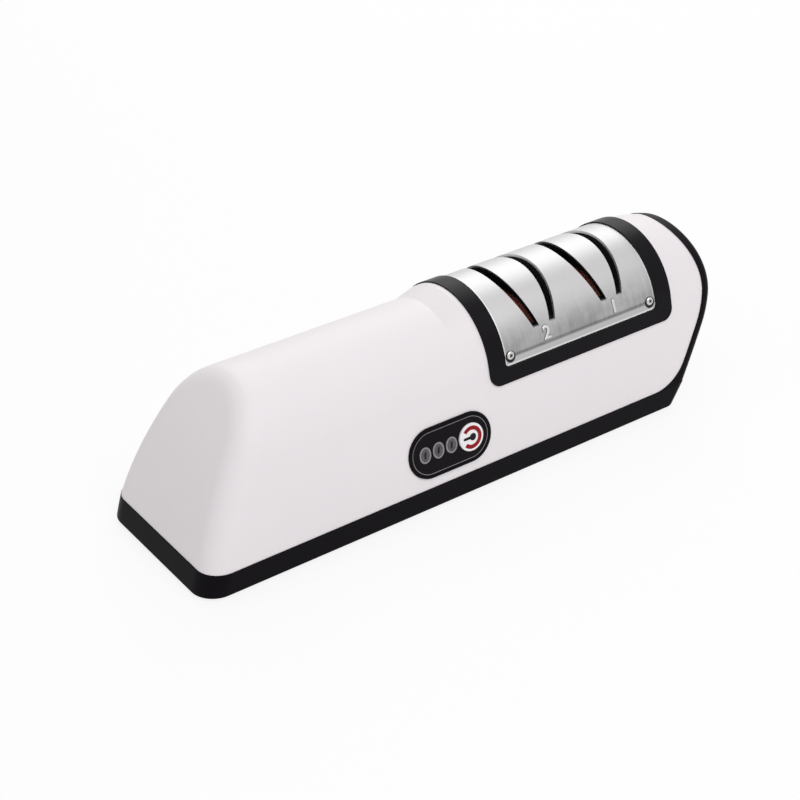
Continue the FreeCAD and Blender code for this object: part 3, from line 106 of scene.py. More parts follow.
class Finish:
    """One material, built on its Principled shader."""

    def __init__(self, name, colour, roughness, metallic=0.0, **fixed):
        self.material = bpy.data.materials.new(name)
        self.material.use_nodes = True
        self.tree = self.material.node_tree
        self.shader = self.tree.nodes["Principled BSDF"]
        self.set("Base Color", colour)
        self.set("Roughness", roughness)
        self.set("Metallic", metallic)
        for socket, value in fixed.items():
            self.set(socket.replace("_", " "), value)
        self.material.diffuse_color = (*colour, 1.0)

    def feed(self, socket, value):
        """Links a wire to an input, or sets a value on it."""
        if isinstance(value, Wire):
            self.tree.links.new(value.socket, socket)
        elif isinstance(value, tuple) and len(value) == 3 and socket.type == "RGBA":
            socket.default_value = (*value, 1.0)
        else:
            socket.default_value = value

    def set(self, socket, value):
        self.feed(self.shader.inputs[socket], value)

    def add(self, kind, values=(), output=0, **settings):
        """A node of one kind, its settings first and then its inputs, by place or by name."""
        node = self.tree.nodes.new("ShaderNode" + kind)
        for setting, value in settings.items():
            setattr(node, setting, value)
        places = values.items() if isinstance(values, dict) else enumerate(values)
        for place, value in places:
            self.feed(node.inputs[place], value)
        return Wire(self, node.outputs[output])

    def coordinates(self, scale=(1.0, 1.0, 1.0)):
        """The place on the object, in metres times a scale each way."""
        place = self.add("TexCoord", output="Object")
        return self.add("Mapping", {"Vector": place, "Scale": scale})

    def noise(self, grain, detail=2.0, stretch=(1.0, 1.0, 1.0), rough=0.5):
        """Noise whose lumps measure about one grain, in metres, stretched by a factor each way."""
        scale = tuple(1.0 / (grain * way) for way in stretch)
        return self.add("TexNoise", {
            "Vector": self.coordinates(scale), "Scale": 1.0, "Detail": detail, "Roughness": rough,
        })

    def mix(self, share, first, second):
        """The first colour where the share is 0 and the second where it is 1."""
        colours = {"Factor": share, MIX_FIRST: first, MIX_SECOND: second}
        return self.add("Mix", colours, output=MIX_COLOUR, data_type="RGBA")

    def axis(self, name):
        place = self.add("TexCoord", output="Object")
        return self.add("SeparateXYZ", [place], output="XYZ".index(name))

    def relief(self, height, depth, edge=0.0):
        """Bump of a height field, over edges that look rounded by a radius."""
        values = {"Height": height, "Distance": depth, "Strength": 1.0}
        if edge:
            values["Normal"] = self.add("Bevel", {"Radius": edge}, samples=4)
        self.set("Normal", self.add("Bump", values))


def shade(colour, factor):
    return tuple(min(channel * factor, 1.0) for channel in colour)


def moulded(name, colour, roughness, grain, depth, edge=0.25 * MM, spread=0.04, **fixed):
    """Moulded plastic: faint clouds, a grained surface, rubbed spots and soft edges."""
    finish = Finish(name, colour, roughness, **fixed)
    clouds = finish.noise(22 * MM, detail=3.0)
    finish.set("Base Color", finish.mix(clouds, shade(colour, 1 - spread), shade(colour, 1 + spread)))
    rubbed = finish.noise(6 * MM, detail=4.0)
    finish.set("Roughness", (rubbed - 0.5) * 0.12 + roughness)
    finish.relief(finish.noise(grain, detail=3.0), depth, edge)
    return finish.material


def flat_ink_and_painted_light(name, colour, spread):
    """Matt flat colour with no soft edges, for ink and for painted shade and highlights."""
    return moulded(
        name, colour, 0.4, 0.4 * MM, 0.002 * MM, edge=0.0, spread=spread, Specular_IOR_Level=0.1,
    )


def ground_steel(name, colour, roughness, grain=(1.0, 40.0, 40.0), scratch=0.25 * MM, **fixed):
    """Steel with ground lines along one way."""
    finish = Finish(name, colour, roughness, metallic=1.0, **fixed)
    lines = finish.noise(scratch, detail=4.0, stretch=grain, rough=0.7)
    clouds = finish.noise(9 * MM, detail=3.0)
    share = lines * 0.6 + clouds * 0.4
    finish.set("Base Color", finish.mix(share, shade(colour, 0.82), shade(colour, 1.14)))
    finish.set("Roughness", (lines - 0.5) * 0.25 + roughness)
    finish.relief(lines, 0.012 * MM, 0.15 * MM)
    return finish.material


def cover_steel():
    """Brushed sheet: lines over the arch, painted shade in grey clouds low on its sides, a folded hem with painted
    shade in its crease, and painted highlights along its ends and lower edge.
    """
    colour = (0.5, 0.493, 0.496)
    finish = Finish("cover_brushed", colour, 0.48, metallic=1.0)
    lines = finish.noise(0.14 * MM, detail=5.0, stretch=(1.0, 50.0, 50.0), rough=0.7)
    streaks = finish.noise(1.3 * MM, detail=4.0, stretch=(1.0, 7.0, 7.0), rough=0.6)
    clouds = finish.noise(8 * MM, detail=3.0, stretch=(1.6, 1.0, 1.0))
    height = finish.axis("Z")
    low_down = 1.0 - height.ramp(HEM_TOP, HEM_TOP + 15 * MM)
    above_hem = height.ramp(HEM_TOP - 0.3 * MM, HEM_TOP + 0.3 * MM)
    # Painted shade: grey clouds and streaks darken the sheet low on its sides, above the hem.
    painted_low_shade = ((streaks * 0.5 + clouds * 0.8 - 0.35) * 1.5 * low_down * above_hem).clamped()
    bright = finish.mix(lines, shade(colour, 0.95), shade(colour, 1.06))
    tone = finish.mix(painted_low_shade, bright, (0.2, 0.195, 0.2))
    # Painted shade: a dark band along the hem's crease, which the bump also dents.
    crease_dent_and_shade = 1.0 - abs(height - HEM_TOP).ramp(0.1 * MM, 1.0 * MM)
    painted_crease_shade = finish.mix(crease_dent_and_shade * (streaks * 0.5 + 0.45), tone, (0.13, 0.127, 0.13))
    middle = (cover_low.x + cover_high.x) / 2
    half = (cover_high.x - cover_low.x) / 2
    ends = abs(finish.axis("X") - middle).ramp(half - 0.8 * MM, half - 0.3 * MM)
    # Painted highlight: the sheet is lighter along its ends and its lower edge.
    painted_edge_highlight = (ends + (1.0 - height.ramp(cover_low.z + 0.3 * MM, cover_low.z + 0.8 * MM))).clamped()
    finish.set("Base Color", finish.mix(painted_edge_highlight * 0.8, painted_crease_shade, (0.93, 0.92, 0.925)))
    finish.set("Roughness", (lines - 0.5) * 0.15 + (low_down * 0.04 + 0.46))
    finish.relief(lines * 0.08 - crease_dent_and_shade, 0.1 * MM, 0.2 * MM)
    return finish.material


def abrasive(name, grain):
    """Bonded grit: bright and dark grains in a red-brown bond."""
    dark = (0.36, 0.075, 0.055)
    light = (0.72, 0.18, 0.135)
    finish = Finish(name, light, 0.9)
    place = finish.coordinates((1 / grain,) * 3)
    grains = {"Vector": place, "Scale": 1.0}
    level = finish.add("SeparateColor", [finish.add("TexVoronoi", grains, output="Color")])
    rust = finish.noise(3 * MM, detail=3.0)
    finish.set("Base Color", finish.mix(level, dark, finish.mix(rust, light, shade(light, 1.7))))
    finish.set("Roughness", level * 0.2 + 0.75)
    finish.relief(finish.add("TexVoronoi", grains), grain * 0.5)
    return finish.material


def windings():
    """Copper turns round the motor's core."""
    finish = Finish("winding", (0.6, 0.24, 0.08), 0.35, metallic=1.0)
    turns = finish.add("TexWave", {
        "Vector": finish.coordinates(), "Scale": 700.0, "Distortion": 1.0, "Detail": 1.0,
    }, bands_direction="X")
    finish.set("Base Color", finish.mix(turns, (0.33, 0.11, 0.03), (0.72, 0.32, 0.12)))
    finish.relief(turns, 0.1 * MM)
    return finish.material


def smoked_lens():
    """Grey acrylic window with faint flow clouds."""
    finish = Finish("lens_smoke", (0.1, 0.095, 0.105), 0.22, Specular_IOR_Level=0.2)
    clouds = finish.noise(1.2 * MM, detail=3.0)
    finish.set("Base Color", finish.mix(clouds, (0.04, 0.037, 0.043), (0.15, 0.145, 0.155)))
    finish.relief(finish.noise(0.5 * MM), 0.01 * MM, 0.15 * MM)
    return finish.material


def solder_mask():
    """Green board with its copper tracks under the mask."""
    finish = Finish("board_mask", (0.01, 0.09, 0.04), 0.35)
    tracks = finish.add("TexBrick", {
        "Vector": finish.coordinates((400.0, 400.0, 400.0)), "Scale": 1.0, "Mortar Size": 0.08,
    }, output="Fac")
    finish.set("Base Color", finish.mix(tracks, (0.008, 0.075, 0.03), (0.03, 0.16, 0.06)))
    finish.relief(tracks, 0.03 * MM)
    return finish.material


FINISHES = {
    "housing_white": moulded(
        "shell_white", (0.84, 0.803, 0.822), 0.5, 0.9 * MM, 0.004 * MM, spread=0.012,
        Specular_IOR_Level=0.4,
    ),
    "base_black": moulded(
        "strip_black", (0.004, 0.003, 0.0045), 0.42, 0.22 * MM, 0.008 * MM, spread=0.15,
        Specular_IOR_Level=0.05,
    ),
    "frame_black": moulded(
        "frame_satin", (0.0035, 0.0025, 0.004), 0.34, 0.3 * MM, 0.004 * MM, spread=0.15,
        Specular_IOR_Level=0.1,
    ),
    "guide_black": moulded(
        "guide_matt", (0.006, 0.006, 0.007), 0.6, 0.3 * MM, 0.01 * MM, spread=0.2,
        Specular_IOR_Level=0.1,
    ),
    "panel_gloss": moulded(
        "panel_gloss", (0.0045, 0.0032, 0.005), 0.2, 0.8 * MM, 0.002 * MM, spread=0.1,
        Specular_IOR_Level=0.08,
    ),
    "button_white": moulded(
        "button_gloss", (0.88, 0.87, 0.88), 0.25, 0.6 * MM, 0.002 * MM, spread=0.01,
    ),
    "switch_black": moulded(
        "switch_moulded", (0.02, 0.02, 0.02), 0.5, 0.3 * MM, 0.008 * MM, spread=0.2,
    ),
    "foot_rubber": moulded(
        "foot_rubber", (0.02, 0.02, 0.021), 0.85, 0.15 * MM, 0.02 * MM, spread=0.25,
    ),
    "coupling_grey": moulded("acetal_grey", (0.3, 0.3, 0.31), 0.5, 0.3 * MM, 0.005 * MM, spread=0.1),
    "cell_wrap": moulded("cell_wrap", (0.05, 0.2, 0.42), 0.3, 1.5 * MM, 0.02 * MM, spread=0.1),
    "plate_steel": cover_steel(),
    "screw_steel": ground_steel("screw_nickel", (0.62, 0.61, 0.6), 0.25, grain=(4.0, 4.0, 4.0)),
    "shaft_steel": ground_steel("shaft_ground", (0.6, 0.6, 0.6), 0.25, grain=(1.0, 20.0, 20.0)),
    "can_steel": ground_steel("can_zinc", (0.55, 0.55, 0.53), 0.35, grain=(20.0, 20.0, 1.0)),
    "brass_nut": ground_steel("brass_turned", (0.72, 0.5, 0.2), 0.3),
    "magnet_grey": moulded("ferrite", (0.05, 0.05, 0.052), 0.55, 0.4 * MM, 0.02 * MM, spread=0.2),
    "winding_copper": windings(),
    "lens_grey": smoked_lens(),
    "board_green": solder_mask(),
    "fine_abrasive": abrasive("grit_fine", 0.25 * MM),
    "coarse_abrasive": abrasive("grit_coarse", 0.5 * MM),
}
CRIMSON = flat_ink_and_painted_light("print_crimson", (0.29, 0.01, 0.017), 0.08)
INK = flat_ink_and_painted_light("print_ink", (0.012, 0.011, 0.012), 0.2)
# Painted highlight along the inner edge of the bezel's rim.
RIM_HIGHLIGHT_GREY = flat_ink_and_painted_light("print_grey", (0.3, 0.29, 0.31), 0.08)
RIM_GREY = flat_ink_and_painted_light("print_rim", (0.27, 0.262, 0.275), 0.15)
# Painted shade in the screws' recesses and countersinks.
GROOVE_SHADOW = flat_ink_and_painted_light("groove_shadow", (0.02, 0.019, 0.02), 0.2)
# Painted highlight: the raised figures are a lighter copy of the cover's steel.
LIT_NUMBER_STEEL = ground_steel("number_steel", (0.66, 0.65, 0.66), 0.4, grain=(1.0, 20.0, 20.0))
# Painted shadow: a dark, flat, slightly swollen copy of each figure outlines it.
FIGURE_SHADOW_STEEL = ground_steel("stamped_edge", (0.12, 0.118, 0.12), 0.4, grain=(1.0, 20.0, 20.0))


def dress_solids():
    """Gives each solid the finish of its slot. The charging socket's shell is bare metal."""
    for row in frame["record"]["subparts"]:
        slots = nodes[row["node"]].data.materials
        slots.clear()
        slots.append(FINISHES[row["material_slot"]])
    nodes["charging_socket"].data.materials[0] = FINISHES["can_steel"]


# Modelling helpers

def look_away():
    """Ends editing and leaves nothing selected."""
    if bpy.context.object and bpy.context.object.mode != "OBJECT":
        bpy.ops.object.mode_set(mode="OBJECT")
    bpy.ops.object.select_all(action="DESELECT")


def edit():
    """Enters edit mode and returns the mesh that is being edited."""
    bpy.ops.object.mode_set(mode="EDIT")
    return bmesh.from_edit_mesh(bpy.context.object.data)


def choose(mesh, kind, wanted):
    """Selects just the faces, edges or verts that a test picks out."""
    bpy.ops.mesh.select_all(action="DESELECT")
    bpy.ops.mesh.select_mode(type={"faces": "FACE", "edges": "EDGE", "verts": "VERT"}[kind])
    for item in getattr(mesh, kind):
        item.select_set(bool(wanted(item)))
    mesh.select_flush_mode()
    bmesh.update_edit_mesh(bpy.context.object.data)


def settle(name, piece, place, finish, body):
    """Names a finished piece, puts its mesh in its place, gives it its finish and lets it ride."""
    look_away()
    piece.select_set(True)
    bpy.context.view_layer.objects.active = piece
    bpy.ops.object.transform_apply(location=True, rotation=True, scale=True)
    piece.data.transform(place)
    piece.name = name
    piece.data.name = name
    piece.data.materials.clear()
    piece.data.materials.append(finish)
    bpy.ops.object.shade_smooth_by_angle(angle=math.radians(35))
    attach(piece, body)
    return piece


def copied(piece, shift):
    """A copy with its own mesh, moved by a vector."""
    twin = piece.copy()
    twin.data = piece.data.copy()
    twin.data.transform(Matrix.Translation(shift))
    bpy.context.scene.collection.objects.link(twin)
    return twin


def joined(pieces):
    """The pieces as one object."""
    look_away()
    for piece in pieces:
        piece.select_set(True)
    bpy.context.view_layer.objects.active = pieces[0]
    bpy.ops.object.join()
    return bpy.context.object


def disc_blank(radius, steps=72):
    """A flat filled circle at the origin, in edit mode."""
    look_away()
    bpy.ops.mesh.primitive_circle_add(vertices=steps, radius=radius, fill_type="NGON")
    return edit()


def stretch(mesh, reach):
    """Pulls a circle's two halves apart along x, to a stadium."""
    for way in (-1, 1):
        choose(mesh, "verts", lambda vert: vert.co.x * way > TINY)
        bpy.ops.transform.translate(value=(way * reach, 0.0, 0.0))


def inset(thickness):
    """Draws a band of faces along the rim of the flat mesh that is being edited."""
    bpy.ops.mesh.select_all(action="SELECT")
    bpy.ops.mesh.inset(thickness=thickness)


def drop_middle(mesh, unwanted=lambda item: False):
    """Deletes the many-sided face inside a band, and what else a test picks out."""
    choose(mesh, "faces", lambda item: len(item.verts) > 4 or unwanted(item))
    bpy.ops.mesh.delete(type="FACE")


def raise_up(height, low=0.0):
    """Extrudes the flat faces to a plate between two heights."""
    bpy.ops.mesh.select_all(action="SELECT")
    bpy.ops.transform.translate(value=(0.0, 0.0, low))
    bpy.ops.mesh.extrude_region_move(TRANSFORM_OT_translate={"value": (0.0, 0.0, height)})
    bpy.ops.mesh.select_all(action="SELECT")
    bpy.ops.mesh.normals_make_consistent(inside=False)


def carve(piece, cutter):
    """Cuts one closed mesh out of another and drops the cutter."""
    look_away()
    bpy.context.view_layer.objects.active = piece
    modifier = piece.modifiers.new("carve", "BOOLEAN")
    modifier.operation = "DIFFERENCE"
    modifier.solver = "EXACT"
    modifier.object = cutter
    bpy.ops.object.modifier_apply(modifier=modifier.name)
    bpy.data.objects.remove(cutter, do_unlink=True)


# Frames on the wall at the control panel and on the rear end at the socket

ALONG = Vector((1.0, 0.0, 0.0))
PRESS = next(joint for joint in frame["joints"] if joint["type"] == "slide")
OUTWARD = -Vector(PRESS["axis"]).normalized()
UP_WALL = OUTWARD.cross(ALONG)
FLAT = 0.02 * MM


def points_of(name):
    return [vertex.co for vertex in nodes[name].data.vertices]


def height_on_wall(name):
    """How far a node reaches up the leaning wall."""
    ups = [point.dot(UP_WALL) for point in points_of(name)]
    return max(ups) - min(ups)


def outer_face(name, outward=OUTWARD, along=ALONG):
    """A frame in the middle of a node's outer face: x along it, y up it, z out of it."""
    up = outward.cross(along)
    points = points_of(name)
    reach = max(point.dot(outward) for point in points)
    face = [point for point in points if reach - point.dot(outward) < FLAT]
    middle = outward * reach
    for way in (along, up):
        places = [point.dot(way) for point in face]
        middle = middle + way * (min(places) + max(places)) / 2
    turn = Matrix((along, up, outward)).transposed().to_4x4()
    return Matrix.Translation(middle) @ turn


# Prints on the control panel

PRINT = 0.03 * MM
RING_RADIUS = 4.1 * MM
RING_WIDTH = 1.45 * MM
RING_OPENING = math.radians(40)
BLOB_RADIUS = 1.3 * MM
BLOB_PLACE = 0.5 * MM
BAR_RADIUS = 0.5 * MM
BAR_REACH = 1.35 * MM
BAR_PLACE = -1.6 * MM
BAR_LIFT = 0.004 * MM
LENS_WIDTH = 4.6 * MM
RIM_WIDTH = 0.5 * MM
MARK_RADIUS = 0.4 * MM
MARK_REACH = 0.85 * MM
MARK_TURN = math.radians(80)
LINE_WIDTH = 0.2 * MM


def print_blank(radius, steps, reach=0.0):
    """A disc or a stadium as thick as a print."""
    mesh = disc_blank(radius, steps)
    if reach:
        stretch(mesh, reach)
    raise_up(PRINT)
    look_away()
    return bpy.context.object


def button_mark():
    """Crimson ring, open towards the nose, and a black bar that ends in a round blob."""
    face = outer_face("power_button")
    mesh = disc_blank(RING_RADIUS)
    inset(RING_WIDTH)

    def in_opening(item):
        middle = item.calc_center_median()
        return abs(math.atan2(middle.y, -middle.x)) < RING_OPENING

    drop_middle(mesh, in_opening)
    raise_up(PRINT)
    settle("button_ring", bpy.context.object, face, CRIMSON, "button")

    blob = print_blank(BLOB_RADIUS, 36)
    blob.data.transform(Matrix.Translation((BLOB_PLACE, 0.0, 0.0)))
    bar = print_blank(BAR_RADIUS, 24, BAR_REACH)
    bar.data.transform(Matrix.Translation((BAR_PLACE, 0.0, BAR_LIFT)))
    settle("button_bar", joined([blob, bar]), face, INK, "button")


def lens_marks():
    """A pale rim and a short dark bar on each indicator window."""
    low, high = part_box("indicator_lenses")
    face = outer_face("indicator_lenses")
    pitch = (high.x - low.x - LENS_WIDTH) / 2

    def on_each_window(piece):
        return joined([piece] + [copied(piece, (way * pitch, 0.0, 0.0)) for way in (-1, 1)])

    disc_blank(LENS_WIDTH / 2, 48)
    look_away()
    rim = bpy.context.object
    oval = height_on_wall("indicator_lenses") / LENS_WIDTH
    rim.data.transform(Matrix.Diagonal((1.0, oval, 1.0, 1.0)))
    mesh = edit()
    inset(RIM_WIDTH)
    drop_middle(mesh)
    raise_up(PRINT)
    look_away()
    settle("lens_rims", on_each_window(rim), face, RIM_GREY, "housing")

    bar = print_blank(MARK_RADIUS, 24, MARK_REACH)
    bar.data.transform(Matrix.Rotation(MARK_TURN, 4, "Z"))
    settle("lens_marks", on_each_window(bar), face, INK, "housing")


def panel_line():
    """Painted highlight: a thin light line round the panel, where it meets the bezel's rim."""
    low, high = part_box("button_panel")
    face = outer_face("button_panel")
    width = height_on_wall("button_panel")
    mesh = disc_blank(width / 2, 96)
    stretch(mesh, (high.x - low.x - width) / 2)
    inset(LINE_WIDTH)
    drop_middle(mesh)
    raise_up(PRINT)
    settle("panel_line", bpy.context.object, face, RIM_HIGHLIGHT_GREY, "housing")


# Numbers on the cover, wrapped round its crown

FIGURE_SIZE = 6.6 * MM
FIGURE_HEIGHT = HEM_TOP + 3.0 * MM
FIGURE_RISE = 0.36 * MM
SHADOW_SWELL = 0.26 * MM
SHADOW_RISE = 0.12 * MM


def cover_number(name, sign, x, finish, swell, rise):
    """A figure on the front of the cover, swollen outwards and raised by a little."""
    look_away()
    bpy.ops.object.text_add()
    text = bpy.context.object
    text.data.body = sign
    text.data.size = FIGURE_SIZE
    text.data.align_x = "CENTER"
    text.data.align_y = "CENTER"
    text.data.offset = swell
    text.data.extrude = rise / 2
    text.data.bevel_depth = rise / 2
    text.data.bevel_resolution = 2
    bpy.ops.object.convert(target="MESH")
    middle = math.acos((FIGURE_HEIGHT - AXIS_HEIGHT) / CROWN_RADIUS)
    for vertex in text.data.vertices:
        turn = middle - vertex.co.y / CROWN_RADIUS
        reach = CROWN_RADIUS + vertex.co.z
        vertex.co = (x + vertex.co.x, -reach * math.sin(turn), AXIS_HEIGHT + reach * math.cos(turn))
    settle(name, text, UNMOVED, finish, "housing")


def cover_numbers():
    """Stage 2 stands under the fine wheel and stage 1 under the coarse one."""
    for figure, wheel in (("2", "fine_wheel"), ("1", "coarse_wheel")):
        low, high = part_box(wheel)
        x = (low.x + high.x) / 2
        cover_number(f"cover_figure_{figure}", figure, x, LIT_NUMBER_STEEL, 0.0, FIGURE_RISE)
        # The dark outline round the figure is a painted shadow.
        cover_number(f"figure_edge_{figure}", figure, x, FIGURE_SHADOW_STEEL, SHADOW_SWELL, SHADOW_RISE)


# Screws with a cross recess

HEAD_RADIUS = 1.6 * MM
HEAD_RISE = 0.9 * MM
HEAD_DOME = 0.7 * MM
RECESS_LENGTH = 1.84 * MM
RECESS_WIDTH = 0.544 * MM
RECESS_DEPTH = 1.08 * MM
RECESS_TAPER = (0.6, 0.75)
RECESS_TURN = 28
GROOVE_RADIUS = 2.05 * MM
GROOVE_RIM = 0.2 * MM
GROOVE_LIFT = 0.12 * MM


def screw_head():
    """A head that stands on z = 0 with its edge rounded and a tapered cross cut into its top."""
    look_away()
    bpy.ops.mesh.primitive_cylinder_add(
        vertices=48, radius=HEAD_RADIUS, depth=HEAD_RISE, location=(0, 0, HEAD_RISE / 2),
    )
    mesh = edit()
    choose(mesh, "edges", lambda item: all(vert.co.z > 0 for vert in item.verts))
    bpy.ops.mesh.bevel(offset=HEAD_DOME, offset_type="OFFSET", segments=5, profile=0.5)
    head = bpy.context.object
    look_away()
    size = (RECESS_LENGTH, RECESS_WIDTH, 2 * RECESS_DEPTH, 1.0)
    for turn in (0.0, 90.0):
        bpy.ops.mesh.primitive_cube_add(size=1.0)
        cutter = bpy.context.object
        cutter.data.transform(Matrix.Diagonal(size))
        for vertex in cutter.data.vertices:
            if vertex.co.z < 0:
                vertex.co.x *= RECESS_TAPER[0]
                vertex.co.y *= RECESS_TAPER[1]
        cutter.data.transform(Matrix.Rotation(math.radians(turn + RECESS_TURN), 4, "Z"))
        cutter.data.transform(Matrix.Translation((0.0, 0.0, HEAD_RISE)))
        carve(head, cutter)
    return head


def countersink():
    """Painted shade: the dark floor under a head and the groove round it, in one dished disc."""
    mesh = disc_blank(GROOVE_RADIUS, 48)
    inset(GROOVE_RIM)
    choose(mesh, "faces", lambda item: len(item.verts) > 4)
    bpy.ops.transform.translate(value=(0.0, 0.0, GROOVE_LIFT))
    raise_up(GROOVE_LIFT)
    look_away()
    return bpy.context.object


def cover_screws():
    """Four heads in the cover's corners, each square to the sheet."""
    points = points_of("plate_screws")
    low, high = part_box("plate_screws")
    middle = (low.x + high.x) / 2
    heads = []
    groove_shadows = []
    for along in (-1, 1):
        for across in (-1, 1):
            near = [
                point for point in points
                if (point.x - middle) * along > 0 and point.y * across > 0
            ]
            xs = [point.x for point in near]
            x = (min(xs) + max(xs)) / 2
            outer = max(near, key=lambda point: math.hypot(point.y, point.z - AXIS_HEIGHT))
            turn = math.atan2(outer.y, outer.z - AXIS_HEIGHT)
            axis = Matrix.Translation((x, 0.0, AXIS_HEIGHT)) @ Matrix.Rotation(-turn, 4, "X")
            place = axis @ Matrix.Translation((0.0, 0.0, CROWN_RADIUS))
            for pieces, piece in ((heads, screw_head()), (groove_shadows, countersink())):
                piece.data.transform(place)
                pieces.append(piece)
    steel = FINISHES["screw_steel"]
    settled = settle("cover_screws", joined(heads), UNMOVED, steel, "housing")
    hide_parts("plate_screws")
    settle("screw_grooves", joined(groove_shadows), UNMOVED, GROOVE_SHADOW, "housing")


# The guide's windows and the charging socket

GAP_ROUND_WHEEL = 4.4 * MM
GAP_BESIDE_WHEEL = 1.8 * MM
SOCKET_FLOOR = 7.0 * MM
SOCKET_RADIUS = 1.55 * MM
SOCKET_REACH = 3.0 * MM
FLOOR_THICKNESS = 0.2 * MM
TONGUE_WIDTH = 5.9 * MM
TONGUE_THICKNESS = 1.0 * MM
TONGUE_END = 1.55 * MM
TONGUE_EDGE = 0.15 * MM
CONTACT_WIDTH = 0.4 * MM
CONTACT_THICKNESS = 0.12 * MM
CONTACT_START = 5.4 * MM
CONTACT_END = 1.9 * MM
CONTACT_PITCH = 0.95 * MM
CONTACT_OFFSET = 0.49 * MM
CONTACT_EDGE = 0.03 * MM
CONTACTS = 5


def opened_guide():
    """The guide with its windows opened into the slots, so that both wheels show."""
    look_away()
    guide = nodes["knife_guide"].copy()
    guide.data = nodes["knife_guide"].data.copy()
    bpy.context.scene.collection.objects.link(guide)
    guide.select_set(True)
    bpy.context.view_layer.objects.active = guide
    bpy.ops.object.mode_set(mode="EDIT")
    bpy.ops.mesh.select_all(action="SELECT")
    bpy.ops.mesh.remove_doubles(threshold=0.001 * MM)
    look_away()
    for wheel in ("fine_wheel", "coarse_wheel"):
        low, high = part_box(wheel)
        bpy.ops.mesh.primitive_cylinder_add(
            vertices=96,
            radius=(high.z - low.z) / 2 + GAP_ROUND_WHEEL,
            depth=high.x - low.x + 2 * GAP_BESIDE_WHEEL,
            location=(low + high) / 2,
            rotation=(0.0, math.pi / 2, 0.0),
        )
        carve(guide, bpy.context.object)
    matt = FINISHES["guide_black"]
    settled = settle("opened_guide", guide, UNMOVED, matt, "housing")
    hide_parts("knife_guide")


def soft_block(width, height, low, high, edge):
    """A block between two depths, with its edges broken."""
    look_away()
    bpy.ops.mesh.primitive_cube_add(size=1.0, location=(0.0, 0.0, (low + high) / 2))
    block = bpy.context.object
    block.scale = (width, height, high - low)
    bpy.ops.object.transform_apply(location=True, scale=True)
    edit()
    bpy.ops.mesh.select_all(action="SELECT")
    bpy.ops.mesh.bevel(offset=edge, segments=2)
    look_away()
    return block


def socket_insert():
    """The charging socket's black floor and tongue, with gilt contacts on both sides."""
    inlet = next(row for row in frame["record"]["mounts"] if row["name"] == "charging_inlet")
    outward = Vector(inlet["axis"]).normalized()
    face = outer_face("charging_socket", outward, Vector((0.0, 1.0, 0.0)))
    mesh = disc_blank(SOCKET_RADIUS, 32)
    stretch(mesh, SOCKET_REACH)
    raise_up(FLOOR_THICKNESS, -SOCKET_FLOOR)
    base = bpy.context.object
    tongue_start = FLOOR_THICKNESS / 2 - SOCKET_FLOOR
    tongue = soft_block(
        TONGUE_WIDTH, TONGUE_THICKNESS, tongue_start, -TONGUE_END, TONGUE_EDGE,
    )
    black = FINISHES["switch_black"]
    settle("socket_insert", joined([base, tongue]), face, black, "housing")

    contact = soft_block(
        CONTACT_WIDTH, CONTACT_THICKNESS, -CONTACT_START, -CONTACT_END, CONTACT_EDGE,
    )
    first = -(CONTACTS - 1) / 2 * CONTACT_PITCH
    contact.data.transform(Matrix.Translation((first, CONTACT_OFFSET, 0.0)))
    steps = range(1, CONTACTS)
    row = [contact] + [copied(contact, (step * CONTACT_PITCH, 0.0, 0.0)) for step in steps]
    row += [copied(piece, (0.0, -2 * CONTACT_OFFSET, 0.0)) for piece in row]
    gilt = FINISHES["brass_nut"]
    settle("socket_contacts", joined(row), face, gilt, "housing")


# Studio

AIM_HEIGHT = 30 * MM
WORLD_STRENGTH = 0.5
WORLD_WHITE = 0.95
FLOOR_WHITE = 0.85
FLOOR_SIZE = 40.0
CAMERA_PLACE = (-0.334954, -0.443974, 0.374880)
CAMERA_TILT = math.radians(57.474)
CAMERA_TURN = math.radians(-36.069)
FOCAL_LENGTH = 85.5


def whitened(tree, kind, shader, share):
    """Lets the camera, mirrors and glass see a ground as nearly white, over its own shader."""
    path = tree.nodes.new("ShaderNodeLightPath")
    seen = path.outputs["Is Camera Ray"]
    for ray in ("Is Glossy Ray", "Is Transmission Ray"):
        either = tree.nodes.new("ShaderNodeMath")
        either.operation = "MAXIMUM"
        tree.links.new(seen, either.inputs[0])
        tree.links.new(path.outputs[ray], either.inputs[1])
        seen = either.outputs[0]
    part = tree.nodes.new("ShaderNodeMath")
    part.operation = "MULTIPLY"
    part.inputs[1].default_value = share
    tree.links.new(seen, part.inputs[0])
    white = tree.nodes.new(kind)
    white.inputs["Color"].default_value = (1.0, 1.0, 1.0, 1.0)
    mixed = tree.nodes.new("ShaderNodeMixShader")
    tree.links.new(part.outputs[0], mixed.inputs[0])
    tree.links.new(shader, mixed.inputs[1])
    tree.links.new(white.outputs[0], mixed.inputs[2])
    return mixed.outputs[0]


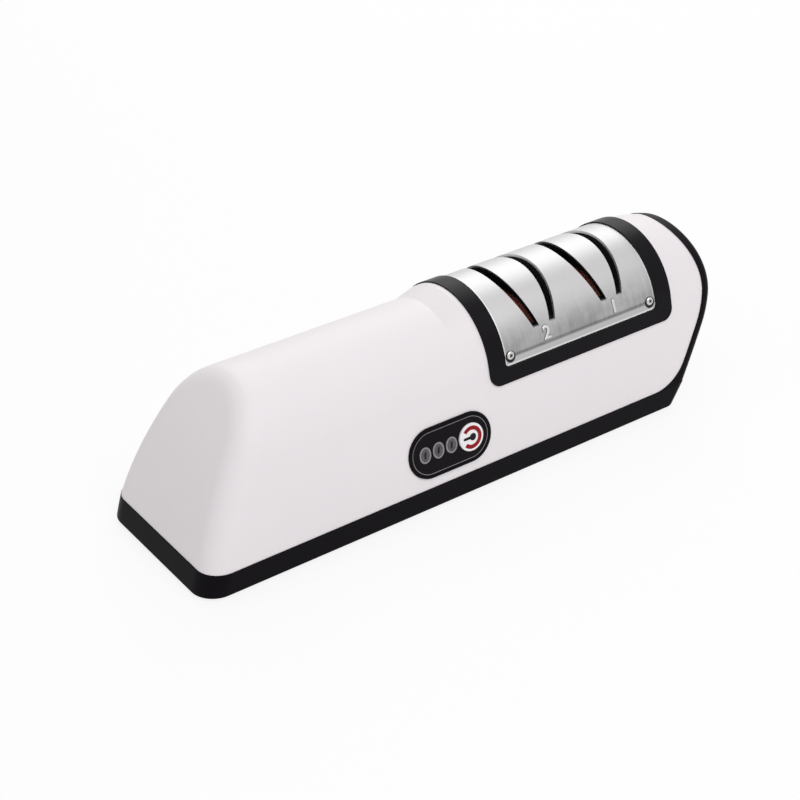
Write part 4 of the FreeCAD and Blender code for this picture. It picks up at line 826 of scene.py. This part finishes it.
def surroundings():
    """Soft white light from all round."""
    world = bpy.data.worlds.new("studio")
    bpy.context.scene.world = world
    world.use_nodes = True
    soft = world.node_tree.nodes["Background"]
    soft.inputs["Color"].default_value = (1.0, 0.99, 0.995, 1.0)
    soft.inputs["Strength"].default_value = WORLD_STRENGTH
    seen = whitened(world.node_tree, "ShaderNodeBackground", soft.outputs[0], WORLD_WHITE)
    world.node_tree.links.new(seen, world.node_tree.nodes["World Output"].inputs["Surface"])


def lamp(name, place, aim, size, power):
    """A rectangular lamp that looks at one point."""
    data = bpy.data.lights.new(name, "AREA")
    data.shape = "RECTANGLE"
    data.size, data.size_y = size
    data.energy = power
    lamp_object = bpy.data.objects.new(name, data)
    bpy.context.scene.collection.objects.link(lamp_object)
    lamp_object.location = place
    way = Vector(aim) - Vector(place)
    lamp_object.rotation_euler = way.to_track_quat("-Z", "Y").to_euler()


def floor():
    """White paper that runs out of sight and keeps the object's shadow."""
    look_away()
    bpy.ops.mesh.primitive_plane_add(size=FLOOR_SIZE, location=(0.0, 0.0, 0.0))
    plane = bpy.context.object
    plane.name = "studio_floor"
    finish = Finish("floor_paper", (0.93, 0.925, 0.925), 0.7)
    finish.relief(finish.noise(4 * MM), 0.02 * MM)
    output = finish.tree.nodes["Material Output"]
    seen = whitened(finish.tree, "ShaderNodeEmission", finish.shader.outputs[0], FLOOR_WHITE)
    finish.tree.links.new(seen, output.inputs["Surface"])
    plane.data.materials.append(finish.material)


def camera():
    """Stands where the photograph was taken, with its angle of view."""
    data = bpy.data.cameras.new("camera")
    data.sensor_width = 36.0
    data.lens = FOCAL_LENGTH
    data.clip_start = 0.01
    data.clip_end = 20.0
    camera_object = bpy.data.objects.new("camera", data)
    bpy.context.scene.collection.objects.link(camera_object)
    camera_object.location = CAMERA_PLACE
    camera_object.rotation_euler = (CAMERA_TILT, 0.0, CAMERA_TURN)
    bpy.context.scene.camera = camera_object


dress_solids()
cover_numbers()
opened_guide()
button_mark()
lens_marks()
panel_line()
cover_screws()
socket_insert()

surroundings()
lamp(
    "key_light", place=(-0.05, -0.6, 0.95), aim=(0.0, 0.0, AIM_HEIGHT), size=(0.9, 0.7),
    power=5.4,
)
lamp(
    "top_light", place=(0.5, 0.66, 0.72), aim=(0.05, 0.0, AIM_HEIGHT), size=(0.85, 0.85),
    power=3.7,
)
floor()
camera()
bpy.context.scene.view_settings.view_transform = "Standard"
